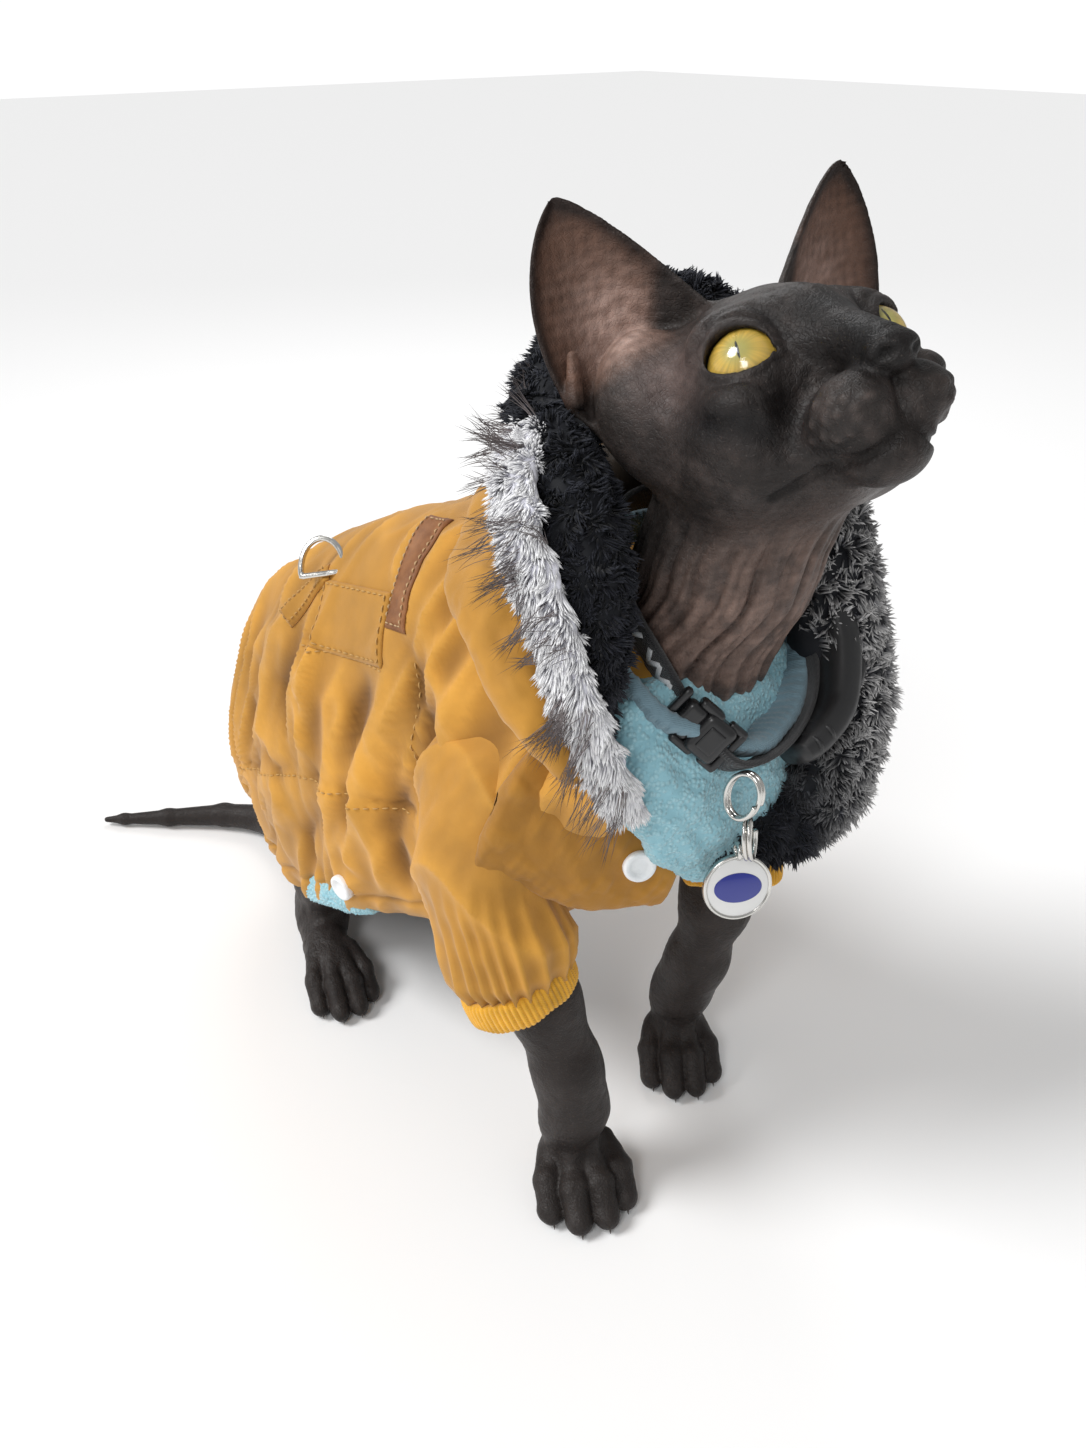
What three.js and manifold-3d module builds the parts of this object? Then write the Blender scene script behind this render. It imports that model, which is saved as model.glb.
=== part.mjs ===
// A sphynx cat at life size. It sits in a hooded coat and looks up.
// Millimetres, +Z up. The cat faces -Y and its left side is +X. The floor is z = 0.
import * as THREE from "three";
import { mergeVertices } from "three/addons/utils/BufferGeometryUtils.js";
import Module from "manifold-3d";

const wasm = await Module();
wasm.setup();

// Driving sizes
const GAP = 0.35; // between pieces that touch
const FLOOR_CUT = 400; // side of the block that flattens what stands on the floor
const ORIGIN_SHIFT = [-10.34, 3.37, 0]; // brings the middle of the footprint to the origin
const EYE_RADIUS = 10.4;
const EYE_SPACING = 35.6; // between the centres of the two eyeballs
const EAR_WALL = 2.2;
const STRAP_WIDTH = 11;
const STRAP_THICK = 2.4;
const TAG_RADIUS = 11;
const TAG_THICK = 2.2;
const SNAP_RADIUS = 5.2;
const PILE_LUMP = 1.6; // how far the clumps of the plush stand out
const CLEAN = 0.1; // faces that lie this close to flat are joined

// Where the head sits and how it is turned: to the right, back and a little over
const HEAD_AT = [16.8, -160.7, 288.8];
const HEAD_TURN = new THREE.Euler(-0.647, -0.0815, -0.369, "ZXY");

// Colours from the photograph, with roughness and metalness
const finish = (color, roughness, metalness = 0) =>
  new THREE.MeshStandardMaterial({ color, roughness, metalness });
const SKIN = finish(0x35302e, 0.55);
const THROAT_SKIN = finish(0x6b5850, 0.6);
const EAR_SKIN = finish(0x4a3630, 0.6);
const EYE = finish(0xd8b83a, 0.1);
const COAT_CLOTH = finish(0xc68f2e, 0.8);
const CUFF_KNIT = finish(0xd99a26, 0.9);
const PLUSH = finish(0x3f4046, 1);
const TRIM_FUR = finish(0xd9dbe8, 1);
const SHIRT_KNIT = finish(0x7fa6b8, 0.95);
const STRAP_WEB = finish(0x111113, 0.7);
const BLACK_PLASTIC = finish(0x17171a, 0.35);
const STEEL = finish(0xb9b6ae, 0.25, 1);
const TAG_ENAMEL = finish(0xeeece6, 0.3);
const SNAP_PLASTIC = finish(0xf1f1f1, 0.35);
const LEATHER = finish(0x9a6a3c, 0.7);

const vec = (p) => new THREE.Vector3(...p);

// A closed three.js geometry as a solid
function solid(geometry) {
  const bare = geometry.clone();
  bare.deleteAttribute("normal");
  bare.deleteAttribute("uv");
  const merged = mergeVertices(bare, 1e-4);
  return new wasm.Manifold(
    new wasm.Mesh({
      numProp: 3,
      vertProperties: new Float32Array(merged.attributes.position.array),
      triVerts: new Uint32Array(merged.index.array),
    }),
  );
}

// A solid back as a three.js geometry
function geometryOf(made) {
  const mesh = made.getMesh();
  const points = new Float32Array(mesh.numVert * 3);
  for (let i = 0; i < mesh.numVert; i++)
    points.set(mesh.vertProperties.subarray(i * mesh.numProp, i * mesh.numProp + 3), i * 3);
  return new THREE.BufferGeometry()
    .setAttribute("position", new THREE.BufferAttribute(points, 3))
    .setIndex(new THREE.BufferAttribute(new Uint32Array(mesh.triVerts), 1));
}

// The largest closed body of a solid
function largest(made) {
  return made.decompose().reduce((best, body) => (body.volume() > best.volume() ? body : best));
}

// Closes a stack of rings of equal length into a solid, with a fan at each end
function stack(rings) {
  const sides = rings[0].length;
  const points = rings.flat();
  const faces = [];
  for (let i = 0; i + 1 < rings.length; i++)
    for (let j = 0; j < sides; j++) {
      const a = i * sides + j;
      const b = i * sides + ((j + 1) % sides);
      faces.push(a, b, b + sides, a, b + sides, a + sides);
    }
  for (const [first, flip] of [[0, true], [(rings.length - 1) * sides, false]]) {
    const middle = new THREE.Vector3();
    for (let j = 0; j < sides; j++) middle.add(points[first + j]);
    points.push(middle.divideScalar(sides));
    for (let j = 0; j < sides; j++) {
      const a = first + j;
      const b = first + ((j + 1) % sides);
      faces.push(...(flip ? [b, a, points.length - 1] : [a, b, points.length - 1]));
    }
  }
  return meshed(points, faces);
}

// Joins a closed loop of rings into a solid ring
function hoop(rings) {
  const sides = rings[0].length;
  const faces = [];
  for (let i = 0; i < rings.length; i++)
    for (let j = 0; j < sides; j++) {
      const next = ((i + 1) % rings.length) * sides;
      const a = i * sides + j;
      const b = i * sides + ((j + 1) % sides);
      faces.push(a, b, next + ((j + 1) % sides), a, next + ((j + 1) % sides), next + j);
    }
  return meshed(rings.flat(), faces);
}

function meshed(points, faces) {
  const geometry = new THREE.BufferGeometry().setFromPoints(points);
  geometry.setIndex(faces);
  let made = solid(geometry);
  if (made.volume() < 0) {
    geometry.setIndex(faces.reverse());
    made = solid(geometry);
  }
  return made;
}

// A ring round `centre` in the plane of two axes, with half sizes a and b and a squareness power
function ring(centre, sideAxis, upAxis, a, b, sides, power = 1, pear = 0) {
  return Array.from({ length: sides }, (_, j) => {
    const turn = (2 * Math.PI * j) / sides;
    const c = Math.sign(Math.cos(turn)) * Math.abs(Math.cos(turn)) ** power;
    const s = Math.sign(Math.sin(turn)) * Math.abs(Math.sin(turn)) ** power;
    return centre.clone().addScaledVector(sideAxis, a * c * (1 + pear * s)).addScaledVector(upAxis, b * s);
  });
}

// Stations [x, y, z, half width, half depth] as two smooth curves, one of places and one of sizes
function curves(stations, closed = false) {
  const places = new THREE.CatmullRomCurve3(stations.map((s) => vec(s.slice(0, 3))), closed);
  const sizes = new THREE.CatmullRomCurve3(stations.map((s) => new THREE.Vector3(s[3], s[4], 0)), closed);
  return { places, sizes };
}

// A rounded limb through stations. Its width lies along `across`, and `grow` makes it larger all over
function limb(stations, { sides = 12, steps = 8, across = [1, 0, 0], grow = 0, power = 1, pear = 0 } = {}) {
  const { places, sizes } = curves(stations);
  const capSteps = 2;
  const rings = [];
  const at = (t, scale, shift) => {
    const tangent = places.getTangent(t);
    const sideAxis = vec(across).addScaledVector(tangent, -vec(across).dot(tangent)).normalize();
    const upAxis = tangent.clone().cross(sideAxis);
    const size = sizes.getPoint(t);
    const round = Math.min(size.x, size.y) * 0.7 + grow;
    const centre = places.getPoint(t).addScaledVector(tangent, shift * round);
    rings.push(ring(centre, sideAxis, upAxis, (size.x + grow) * scale, (size.y + grow) * scale, sides, power, pear));
  };
  for (let k = 0; k < capSteps; k++) {
    const lift = (Math.PI / 2) * (1 - (k + 0.35) / capSteps);
    at(0, Math.cos(lift), -Math.sin(lift));
  }
  for (let i = 0; i <= steps; i++) at(i / steps, 1, 0);
  for (let k = capSteps - 1; k >= 0; k--) {
    const lift = (Math.PI / 2) * (1 - (k + 0.35) / capSteps);
    at(1, Math.cos(lift), Math.sin(lift));
  }
  return stack(rings);
}

// A closed loop through stations; its half width lies along the line away from `hub`. `lump` raises
// every other corner of it, like clumps of pile
function loop(stations, hub, { sides = 10, steps = 28, grow = 0, power = 1, lump = 0 } = {}) {
  const { places, sizes } = curves(stations, true);
  const rings = [];
  for (let i = 0; i < steps; i++) {
    const t = i / steps;
    const tangent = places.getTangent(t);
    const centre = places.getPoint(t);
    const out = centre.clone().sub(vec(hub));
    out.addScaledVector(tangent, -out.dot(tangent)).normalize();
    const size = sizes.getPoint(t);
    const section = ring(centre, out, tangent.clone().cross(out), size.x + grow, size.y + grow, sides, power);
    section.forEach((point, j) => {
      const away = point.clone().sub(centre).normalize();
      point.addScaledVector(away, (i + j) % 2 ? lump : -lump / 2);
    });
    rings.push(section);
  }
  return hoop(rings);
}

// Signed distances, negative inside
const smoothMin = (a, b, k) => {
  const h = Math.max(k - Math.abs(a - b), 0) / k;
  return Math.min(a, b) - h * h * k * 0.25;
};
const smoothMax = (a, b, k) => -smoothMin(-a, -b, k);
function toEllipsoid(p, centre, radii) {
  const q = [0, 1, 2].map((i) => (p[i] - centre[i]) / radii[i]);
  const k0 = Math.hypot(...q);
  const k1 = Math.hypot(...q.map((v, i) => v / radii[i]));
  return k1 < 1e-9 ? -Math.min(...radii) : (k0 * (k0 - 1)) / k1;
}
function toCapsule(p, from, to, startRadius, endRadius) {
  const along = to.map((v, i) => v - from[i]);
  const rel = p.map((v, i) => v - from[i]);
  const length2 = along.reduce((s, v) => s + v * v, 0);
  const h = THREE.MathUtils.clamp(along.reduce((s, v, i) => s + v * rel[i], 0) / length2, 0, 1);
  return Math.hypot(...rel.map((v, i) => v - along[i] * h)) - THREE.MathUtils.lerp(startRadius, endRadius, h);
}
const mirror = (p) => [-p[0], p[1], p[2]];

// A sphere drawn out from `centre` to a surface of signed distance 0. Its pole points along -Y, and
// `crowd` above 1 brings more of its rings to that end
function blob(distance, centre, { segments = 40, rows = 28, crowd = 1, grow = 0 } = {}) {
  const ball = new THREE.SphereGeometry(1, segments, rows);
  const place = ball.attributes.position;
  for (let i = 0; i < place.count; i++) {
    const polar = Math.acos(THREE.MathUtils.clamp(place.getY(i), -1, 1));
    const turn = Math.atan2(place.getZ(i), place.getX(i));
    const tilt = Math.PI * (polar / Math.PI) ** crowd;
    const dir = [Math.sin(tilt) * Math.cos(turn), -Math.cos(tilt), Math.sin(tilt) * Math.sin(turn)];
    const at = (t) => distance(centre.map((v, k) => v + dir[k] * t)) - grow;
    let near = 0;
    let far = 0;
    for (let n = 0; n < 400 && at(far) < 0; n++) {
      near = far;
      far += Math.max(-at(far) * 0.7, 0.2);
    }
    for (let n = 0; n < 18; n++) {
      const middle = (near + far) / 2;
      if (at(middle) < 0) near = middle;
      else far = middle;
    }
    place.setXYZ(i, ...centre.map((v, k) => v + dir[k] * far));
  }
  let made = solid(ball);
  if (made.volume() < 0) {
    ball.setIndex(Array.from(ball.index.array).reverse());
    made = solid(ball);
  }
  return made;
}

// Turns a solid by a three.js matrix
const moved = (made, matrix) => made.transform(matrix.elements);
const HEAD_MATRIX = new THREE.Matrix4().makeRotationFromEuler(HEAD_TURN).setPosition(...HEAD_AT);
const placed = (at, turn = [0, 0, 0]) =>
  new THREE.Matrix4().makeRotationFromEuler(new THREE.Euler(...turn, "ZXY")).setPosition(...at);
const ball = (centre, radius, segments = 14) =>
  solid(new THREE.SphereGeometry(radius, segments, Math.round(segments * 0.7)).translate(...centre));
const floorBlock = solid(
  new THREE.BoxGeometry(FLOOR_CUT * 2, FLOOR_CUT * 2, 100).translate(0, 0, -50),
);

// The head, in its own frame: x to the cat's left, -y to the nose, z up
const EYE_CENTRE = [EYE_SPACING / 2, -20.6, 7.6];
const GAZE = new THREE.Vector3(0.5, -0.83, 0.25).normalize();
function toHead(p) {
  const q = [Math.abs(p[0]), p[1], p[2]]; // the two sides are alike
  let d = toEllipsoid(p, [0, 7, 6], [31, 42, 29.5]); // skull
  d = smoothMin(d, toEllipsoid(q, [19.5, -5, -9], [14.5, 25, 18]), 12); // cheek
  d = smoothMin(d, toEllipsoid(p, [0, -14, -18], [17, 32, 12]), 9); // jaw
  d = smoothMin(d, toEllipsoid(q, [28, 15, 14], [16, 15, 22]), 9); // root of the ear
  d = smoothMin(d, toCapsule(p, [0, -24, 14], [0, -51, -2.5], 8.5, 5.2), 8); // bridge of the nose
  d = smoothMin(d, toEllipsoid(q, [17.5, -17, 16.5], [12.5, 10, 8.5]), 6); // brow
  d = smoothMin(d, toEllipsoid(q, [25, -21, -3.5], [10, 12, 7.5]), 6); // cheekbone
  d = smoothMin(d, toEllipsoid(q, [8.4, -43, -14], [9.6, 12, 9.2]), 3.5); // whisker pad
  d = smoothMin(d, toEllipsoid(p, [0, -53.2, -5], [6.3, 5, 4.4]), 2.2); // nose leather
  d = smoothMin(d, toEllipsoid(p, [0, -41, -26.5], [9, 9, 6.5]), 4); // chin
  d = smoothMax(d, -toCapsule(q, [3.6, -60, -7.5], [4.6, -54, -6.6], 1.4, 1.2), 1); // nostril
  d = smoothMax(d, -toCapsule(p, [0, -60, -13], [0, -56, -20], 1, 1), 1.4); // cleft of the lip
  const line = smoothMin(
    toCapsule(q, [0, -57, -21], [9, -52, -24], 1.3, 1.3),
    toCapsule(q, [9, -52, -24], [22, -30, -25.5], 1.3, 1.8),
    1,
  );
  return smoothMax(d, -line, 2); // line of the mouth
}

const eyeCentre = (side) => [EYE_CENTRE[0] * side, EYE_CENTRE[1], EYE_CENTRE[2]];
function lidded(head, grow) {
  let made = head;
  for (const side of [-1, 1]) {
    const gaze = new THREE.Vector3(GAZE.x * side, GAZE.y, GAZE.z);
    const slant = new THREE.Matrix4()
      .makeRotationFromQuaternion(new THREE.Quaternion().setFromUnitVectors(new THREE.Vector3(0, -1, 0), gaze))
      .setPosition(...vec(eyeCentre(side)).addScaledVector(gaze, EYE_RADIUS));
    const lids = ball(eyeCentre(side), EYE_RADIUS + 2 + grow, 16);
    const opening = moved(
      solid(new THREE.SphereGeometry(1, 12, 8).scale(10.2 - grow, 16, 7.4 - grow).rotateY(-0.16 * side)),
      slant,
    );
    made = made.add(lids).subtract(opening);
    made = made.subtract(ball(eyeCentre(side), EYE_RADIUS + GAP - grow));
  }
  return made;
}

const makeHead = (grow) =>
  moved(lidded(blob(toHead, [0, -12, 0], { segments: 26, rows: 22, crowd: 1.3, grow }), grow), HEAD_MATRIX);
const makeEye = (side) => moved(ball(eyeCentre(side), EYE_RADIUS), HEAD_MATRIX);

// One ear as a cupped wall, in axes of its own: a runs outwards over its face, b backwards and s from
// the root to the tip
const EAR_LENGTH = 57;
const EAR_CUP = 15; // how deep the cup is at the root
const EAR_AXES = new THREE.Matrix4()
  .makeBasis(vec([0.906, 0.303, -0.298]), vec([-0.258, 0.95, 0.181]), vec([0.338, -0.087, 0.937]))
  .setPosition(25.5, 8, 18);
function earEdges(s) {
  const climb = THREE.MathUtils.clamp((s - 9.5) / 48.1, -0.6, 1);
  const inner = -20.9 * (climb < 0 ? 1 - climb : (1 - climb) ** 0.9);
  const rise = THREE.MathUtils.clamp((s - 8) / 50, 0, 1);
  const outer = s < 8 ? 23 - (8 - s) * 0.3 : 23 * (1 - rise ** 2) ** 0.75;
  return [inner, Math.max(outer, inner + 2.4)];
}
function earDepth(v, s) {
  const left = Math.max(1 - s / 58, 0);
  return (4 + 5 * v) * left + EAR_CUP * left ** 0.8 * (1 - v * v);
}
function earWall(j, columns, s, out, grow) {
  const v = (2 * j) / columns - 1;
  const [inner, outer] = earEdges(s);
  const half = (outer - inner) / 2;
  const steepA = (5 * (1 - s / 58) - 2 * v * EAR_CUP * (1 - s / 58) ** 0.8) / half;
  const steepS = (earDepth(v, s + 0.5) - earDepth(v, s - 0.5)) / 1;
  const normal = new THREE.Vector3(-steepA, 1, -steepS).normalize();
  const wall = (EAR_WALL / 2) * (1 - 0.25 * v * v) + grow;
  return new THREE.Vector3((inner + outer) / 2 + v * half, earDepth(v, s), s).addScaledVector(normal, out * wall);
}
function makeEar(side, grow = 0) {
  const columns = 8;
  const heights = [-9, 0, 7, 14, 22, 30, 38, 45, 50, 54, EAR_LENGTH - 0.4 + grow];
  const rings = heights.map((s) => {
    const section = [];
    for (let j = 0; j <= columns; j++) section.push(earWall(j, columns, s, 1, grow));
    for (let j = columns; j >= 0; j--) section.push(earWall(j, columns, s, -1, grow));
    for (const point of section) {
      point.applyMatrix4(EAR_AXES);
      point.x *= side;
    }
    return section;
  });
  return moved(stack(rings), HEAD_MATRIX);
}

// Trunk, neck and tail
const TRUNK = [
  [11, -112, 192, 34, 32],
  [10, -90, 172, 35, 48],
  [8, -40, 149, 35, 58],
  [6, 8, 125, 34, 56],
  [5, 46, 101, 32, 48],
  [4, 74, 78, 27, 38],
  [2, 88, 56, 21, 22],
];
const NECK = [
  [11, -118, 186, 27, 25],
  [13, -131, 210, 26, 25],
  [15, -141, 236, 26, 25.5],
  [18, -150, 258, 27, 27],
];
const TAIL_ROOT = [
  [0, 100, 22, 11, 11],
  [0, 122, 10.5, 8.8, 8.8],
  [-2, 146, 8, 7.6, 7.6],
];
const TAIL_TIP = [
  [-3, 148, 8, 7.5, 7.5],
  [-15, 164, 6.6, 6.2, 6.2],
  [-38, 184, 5, 4.6, 4.6],
  [-63, 207, 3.4, 1.4, 1.4],
];

// Forelegs from shoulder to wrist, and hind legs
const FORELEG = {
  right: [
    [-30, -96, 150, 12, 17],
    [-36, -106, 120, 12.5, 15],
    [-32, -119, 80, 10.6, 11.6],
    [-28, -130, 48, 9.6, 10],
    [-26.5, -132, 30, 10.5, 10.5],
  ],
  left: [
    [48, -98, 150, 12, 17],
    [54, -112, 122, 12.5, 15],
    [51, -124, 86, 10.6, 11.6],
    [50, -119, 54, 9.6, 10],
    [50, -113, 32, 10.5, 10.5],
  ],
};
const HAUNCH = [
  [22, 70, 88, 12, 26],
  [30, 42, 80, 13, 28],
  [35, 12, 62, 11, 20],
];
const SHANK = [
  [44, 6, 58, 11, 17],
  [38, 40, 38, 10, 14],
  [32, 72, 20, 9.5, 11],
];
const METATARSUS = [
  [32, 76, 13, 9, 11],
  [36, 48, 13, 9.5, 10],
  [40, 24, 12, 11, 9.5],
];

// A paw, in its own frame: toes to -y, sole at z = 0. `spread` is the half width at the toes
function toPaw(p, spread, length) {
  const q = [Math.abs(p[0]), p[1], p[2]];
  let d = toEllipsoid(p, [0, -2, 12], [spread * 0.72, length * 0.5, 12]);
  d = smoothMin(d, toCapsule(p, [0, length * 0.22, 16], [0, length * 0.3, 30], 9.6, 9.6), 6);
  const inner = toCapsule(q, [spread * 0.22, -length * 0.22, 10.5], [spread * 0.26, -length * 0.62, 5.6], 4.8, 4.6);
  const outer = toCapsule(q, [spread * 0.62, -length * 0.12, 9.6], [spread * 0.74, -length * 0.46, 5.2], 4.6, 4.3);
  return smoothMin(d, Math.min(inner, outer), 2.2);
}
const SOLE_DROP = -1.6; // the paws are pressed this far into the floor, and cut flat there
const PAWS = {
  forepaw_right: { at: [-25.5, -131.5, SOLE_DROP], yaw: -0.5, spread: 16, length: 33 },
  forepaw_left: { at: [48, -110, SOLE_DROP], yaw: -0.62, spread: 14, length: 33 },
  hindpaw_right: { at: [-36.7, 20, SOLE_DROP], yaw: -0.32, spread: 14, length: 33 },
  hindpaw_left: { at: [46, 22, SOLE_DROP], yaw: 0.3, spread: 13.5, length: 33 },
};
const makePaw = ({ at, yaw, spread, length }, hind, grow = 0) =>
  moved(
    blob((p) => smoothMax(toPaw(p, spread, length), hind ? p[2] - 22 : p[2] - 30, 3), [0, -3, 9], {
      segments: 18,
      rows: 12,
      crowd: 1.15,
      grow,
    }),
    placed(at, [0, 0, yaw]),
  );

// The coat's body: the trunk's line with the cloth's own fulness
const COAT = [
  [11, -124, 198, 42, 44],
  [10, -88, 177, 50, 70],
  [8, -38, 152, 52, 79],
  [6, 8, 127, 53, 80],
  [5, 48, 101, 50, 73],
  [4, 78, 77, 43, 60],
  [2, 95, 57, 31, 41],
];
const SLEEVE = {
  right: [
    [-36, -92, 170, 24, 36],
    [-44, -102, 132, 23, 28],
    [-41, -113, 98, 19, 21],
  ],
  left: [
    [56, -92, 172, 24, 36],
    [60, -112, 142, 22, 27],
    [52, -127, 116, 18, 20],
  ],
};
const CUFF = {
  right: { at: [-39.5, -115.5, 88.5], aim: [0.1, -0.35, -1], radius: 19.5, height: 11 },
  left: { at: [51, -130, 107], aim: [-0.25, -0.35, -1], radius: 18.5, height: 11 },
};
const cutaway = (made, ...others) => others.reduce((left, other) => left.subtract(other), made);

// A ribbed band: a ring whose wall is raised in even ribs
function makeCuff({ at, aim, radius, height }, grow = 0) {
  const ribs = 22;
  const profile = new THREE.Shape();
  const hole = new THREE.Path();
  for (let i = 0; i < ribs * 2; i++) {
    const turn = (Math.PI * i) / ribs;
    const r = radius + grow + (i % 2 ? 0 : 0.8);
    profile[i ? "lineTo" : "moveTo"](r * Math.cos(turn), r * Math.sin(turn));
  }
  hole.absarc(0, 0, radius - 4 - grow, 0, 2 * Math.PI, true);
  profile.holes.push(hole);
  const tall = height + 2 * grow;
  const band = new THREE.ExtrudeGeometry(profile, { depth: tall, bevelEnabled: false, curveSegments: 12 });
  band.translate(0, 0, -tall / 2);
  const turn = new THREE.Quaternion().setFromUnitVectors(new THREE.Vector3(0, 0, 1), vec(aim).normalize());
  return moved(solid(band), new THREE.Matrix4().makeRotationFromQuaternion(turn).setPosition(...at));
}

// The hood lies open round the neck: plush roll, fur edge and the cloth beneath
const HOOD_HUB = [13, -140, 235];
const PLUSH_ROLL = [
  [-18, -106, 281, 13, 13],
  [-27, -124, 269, 14, 14],
  [-30, -137, 251, 15, 13],
  [-29, -146, 228, 14, 13],
  [-22, -153, 204, 12, 12],
  [-10, -159, 179, 10, 11],
  [10, -163, 157, 11, 10],
  [34, -166, 155, 14, 12],
  [49, -168, 170, 17, 14],
  [57, -163, 192, 19, 14],
  [60, -154, 216, 20, 14],
  [61, -141, 245, 20, 14],
  [58, -124, 274, 17, 14],
  [50, -106, 296, 14, 14],
  [32, -97, 304, 13, 14],
  [10, -95, 298, 13, 14],
  [-6, -98, 289, 13, 13],
];
const FUR_EDGE = [
  [66, -148, 196, 6, 8],
  [76, -136, 222, 8, 10],
  [72, -122, 250, 8, 10],
  [62, -113, 270, 8, 10],
  [44, -103, 282, 8, 11],
  [24, -98, 283, 8, 11],
  [4, -98, 282, 8, 11],
  [-14, -102, 280, 8, 10],
  [-30, -110, 280, 9, 10],
  [-44, -120, 276, 9, 10],
  [-52, -131, 262, 9.5, 10],
  [-53, -143, 243, 9.5, 10],
  [-49, -150, 220, 9, 10],
  [-40, -154, 198, 8, 9],
  [-33, -158, 184, 6, 7],
];
const HOOD_CLOTH = [
  [64, -126, 194, 8, 14],
  [68, -112, 220, 11, 18],
  [60, -96, 242, 12, 19],
  [44, -84, 250, 12, 19],
  [22, -78, 249, 13, 19],
  [0, -80, 246, 13, 18],
  [-20, -90, 242, 12, 15],
  [-36, -104, 238, 10, 13],
  [-45, -119, 230, 9, 13],
  [-46, -133, 214, 8, 12],
  [-40, -145, 195, 6, 9],
];

const COLLAR_LINE = [
  [-2, -170, 191],
  [18, -171, 191],
  [38, -163, 200],
  [49, -147, 218],
  [46, -128, 238],
  [29, -114, 251],
  [8, -111, 253],
  [-8, -120, 246],
  [-13, -134, 233],
  [-12, -146, 220],
  [-9, -159, 204],
].map(([x, y, z]) => [x, y, z, STRAP_THICK / 2, STRAP_WIDTH / 2]);
const NECKBAND = [
  [14, -160, 186, 3.4, 9],
  [-10, -152, 196, 3.4, 9],
  [-19, -128, 218, 3.4, 9],
  [-2, -106, 232, 3.4, 9],
  [26, -102, 234, 3.4, 9],
  [47, -124, 222, 3.4, 9],
  [40, -150, 200, 3.4, 9],
];
const BIB = [
  [14, -150, 190, 24, 8],
  [14, -156, 172, 24, 9],
  [14, -156, 152, 16, 8],
];

const SHIRT_HEM = [
  [-45, -24, 76, 4, 12],
  [-47, -2, 68, 4, 12],
  [-46, 22, 58, 4, 12],
];
const FRONT_FLAP = [
  [-46, -117, 168, 4, 25],
  [-24, -138, 155, 4, 25],
  [-2, -150, 147, 4, 18],
];
// What is sewn on the back: where its middle is, which way it runs and faces, and its size
const POCKET_FLAP = { at: [-34, -17, 192], along: [0.02, -0.98, 0.19], out: [-0.85, 0.1, 0.5], size: [26, 46, 30] };
const LABEL = { at: [-25, -44, 218], along: [0.62, 0.12, 0.77], out: [-0.78, 0.05, 0.62], size: [13, 42, 30] };
const BACK_TAB = { at: [-32, 18, 190], along: [0.25, -0.58, 0.77], out: [-0.86, 0.2, 0.45], size: [8, 31, 30] };
const BACK_RING = { at: [-29.5, 6.5, 205], out: [-0.8, 0.1, 0.58], radius: 8, wire: 1.1 };
const CHEST_SNAP = { at: [-16.7, -148, 149.3], out: [-0.45, -0.88, 0.1] };
const HEM_SNAP = { at: [-49, -20, 84], out: [-1, -0.1, -0.1] };
const TRACKER = [
  [26, -173, 188, 5, 9],
  [42, -169, 196, 5.5, 11],
  [52, -160, 210, 5.5, 11],
  [54, -149, 224, 5, 8],
];
const TAG_AT = [-1, -175, 149];
const TAG_AIM = [-0.5, -0.82, 0.18];

// Axes with z along `out` and y along `along`
function facing({ at, along = [0, 0, 1], out }) {
  const z = vec(out).normalize();
  const y = vec(along).addScaledVector(z, -vec(along).dot(z)).normalize();
  return new THREE.Matrix4().makeBasis(y.clone().cross(z), y, z).setPosition(...at);
}

// Hardware on the collar and the coat
const plate = (radius, thick, at, aim, segments = 28) => {
  const turn = new THREE.Quaternion().setFromUnitVectors(new THREE.Vector3(0, 1, 0), vec(aim).normalize());
  return moved(
    solid(new THREE.CylinderGeometry(radius, radius, thick, segments)),
    new THREE.Matrix4().makeRotationFromQuaternion(turn).setPosition(...at),
  );
};
const link = (radius, wire, at, turn, stretch = 1) =>
  moved(solid(new THREE.TorusGeometry(radius, wire, 6, 16).scale(1, stretch, 1)), placed(at, turn));
const slab = (size, at, turn) => moved(solid(new THREE.BoxGeometry(...size)), placed(at, turn));

const onSurface = (spot, geometry) => moved(solid(geometry), facing(spot));
const snap = (spot, grow) =>
  onSurface(spot, new THREE.CylinderGeometry(SNAP_RADIUS + grow, SNAP_RADIUS + grow, 7, 20).rotateX(Math.PI / 2));

const sidesOf = { right: -1, left: 1 };
const flipped = (stations, side, shift = 3) => stations.map(([x, ...rest]) => [x * side + shift, ...rest]);
const haunch = (side, grow) => limb(flipped(HAUNCH, sidesOf[side]), { grow, sides: 9, steps: 3 });
const shank = (side, grow) => limb(flipped(SHANK, sidesOf[side]), { grow, sides: 9, steps: 2 });
const metatarsus = (side, grow) => limb(flipped(METATARSUS, sidesOf[side]), { grow, sides: 9, steps: 2 });
const hindleg = (side, grow) => haunch(side, grow).add(shank(side, grow)).add(metatarsus(side, grow));
const foreleg = (side, grow) => limb(FORELEG[side], { sides: 10, steps: 7, grow });
const trunk = (grow) => limb(TRUNK, { sides: 10, steps: 5, grow });
const neck = (grow) => limb(NECK, { sides: 14, steps: 4, grow });
const coat = (grow) => limb(COAT, { sides: 18, steps: 7, power: 0.66, pear: 0.2, grow });
const sleeve = (side, grow) => limb(SLEEVE[side], { sides: 14, steps: 5, grow });
const plush = (grow) => loop(PLUSH_ROLL, HOOD_HUB, { steps: 36, sides: 12, lump: PILE_LUMP, grow });
const furEdge = (grow) => limb(FUR_EDGE, { sides: 8, steps: 20, across: [0, 0, 1], grow });
const hoodCloth = (grow) => limb(HOOD_CLOTH, { sides: 10, steps: 13, across: [0, 0, 1], grow });
const strap = (grow) => loop(COLLAR_LINE, HOOD_HUB, { sides: 8, steps: 20, power: 0.5, grow });
const neckband = (grow) => loop(NECKBAND, HOOD_HUB, { sides: 8, steps: 16, power: 0.5, grow });
const bib = (grow) => limb(BIB, { sides: 10, steps: 3, grow });
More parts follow.
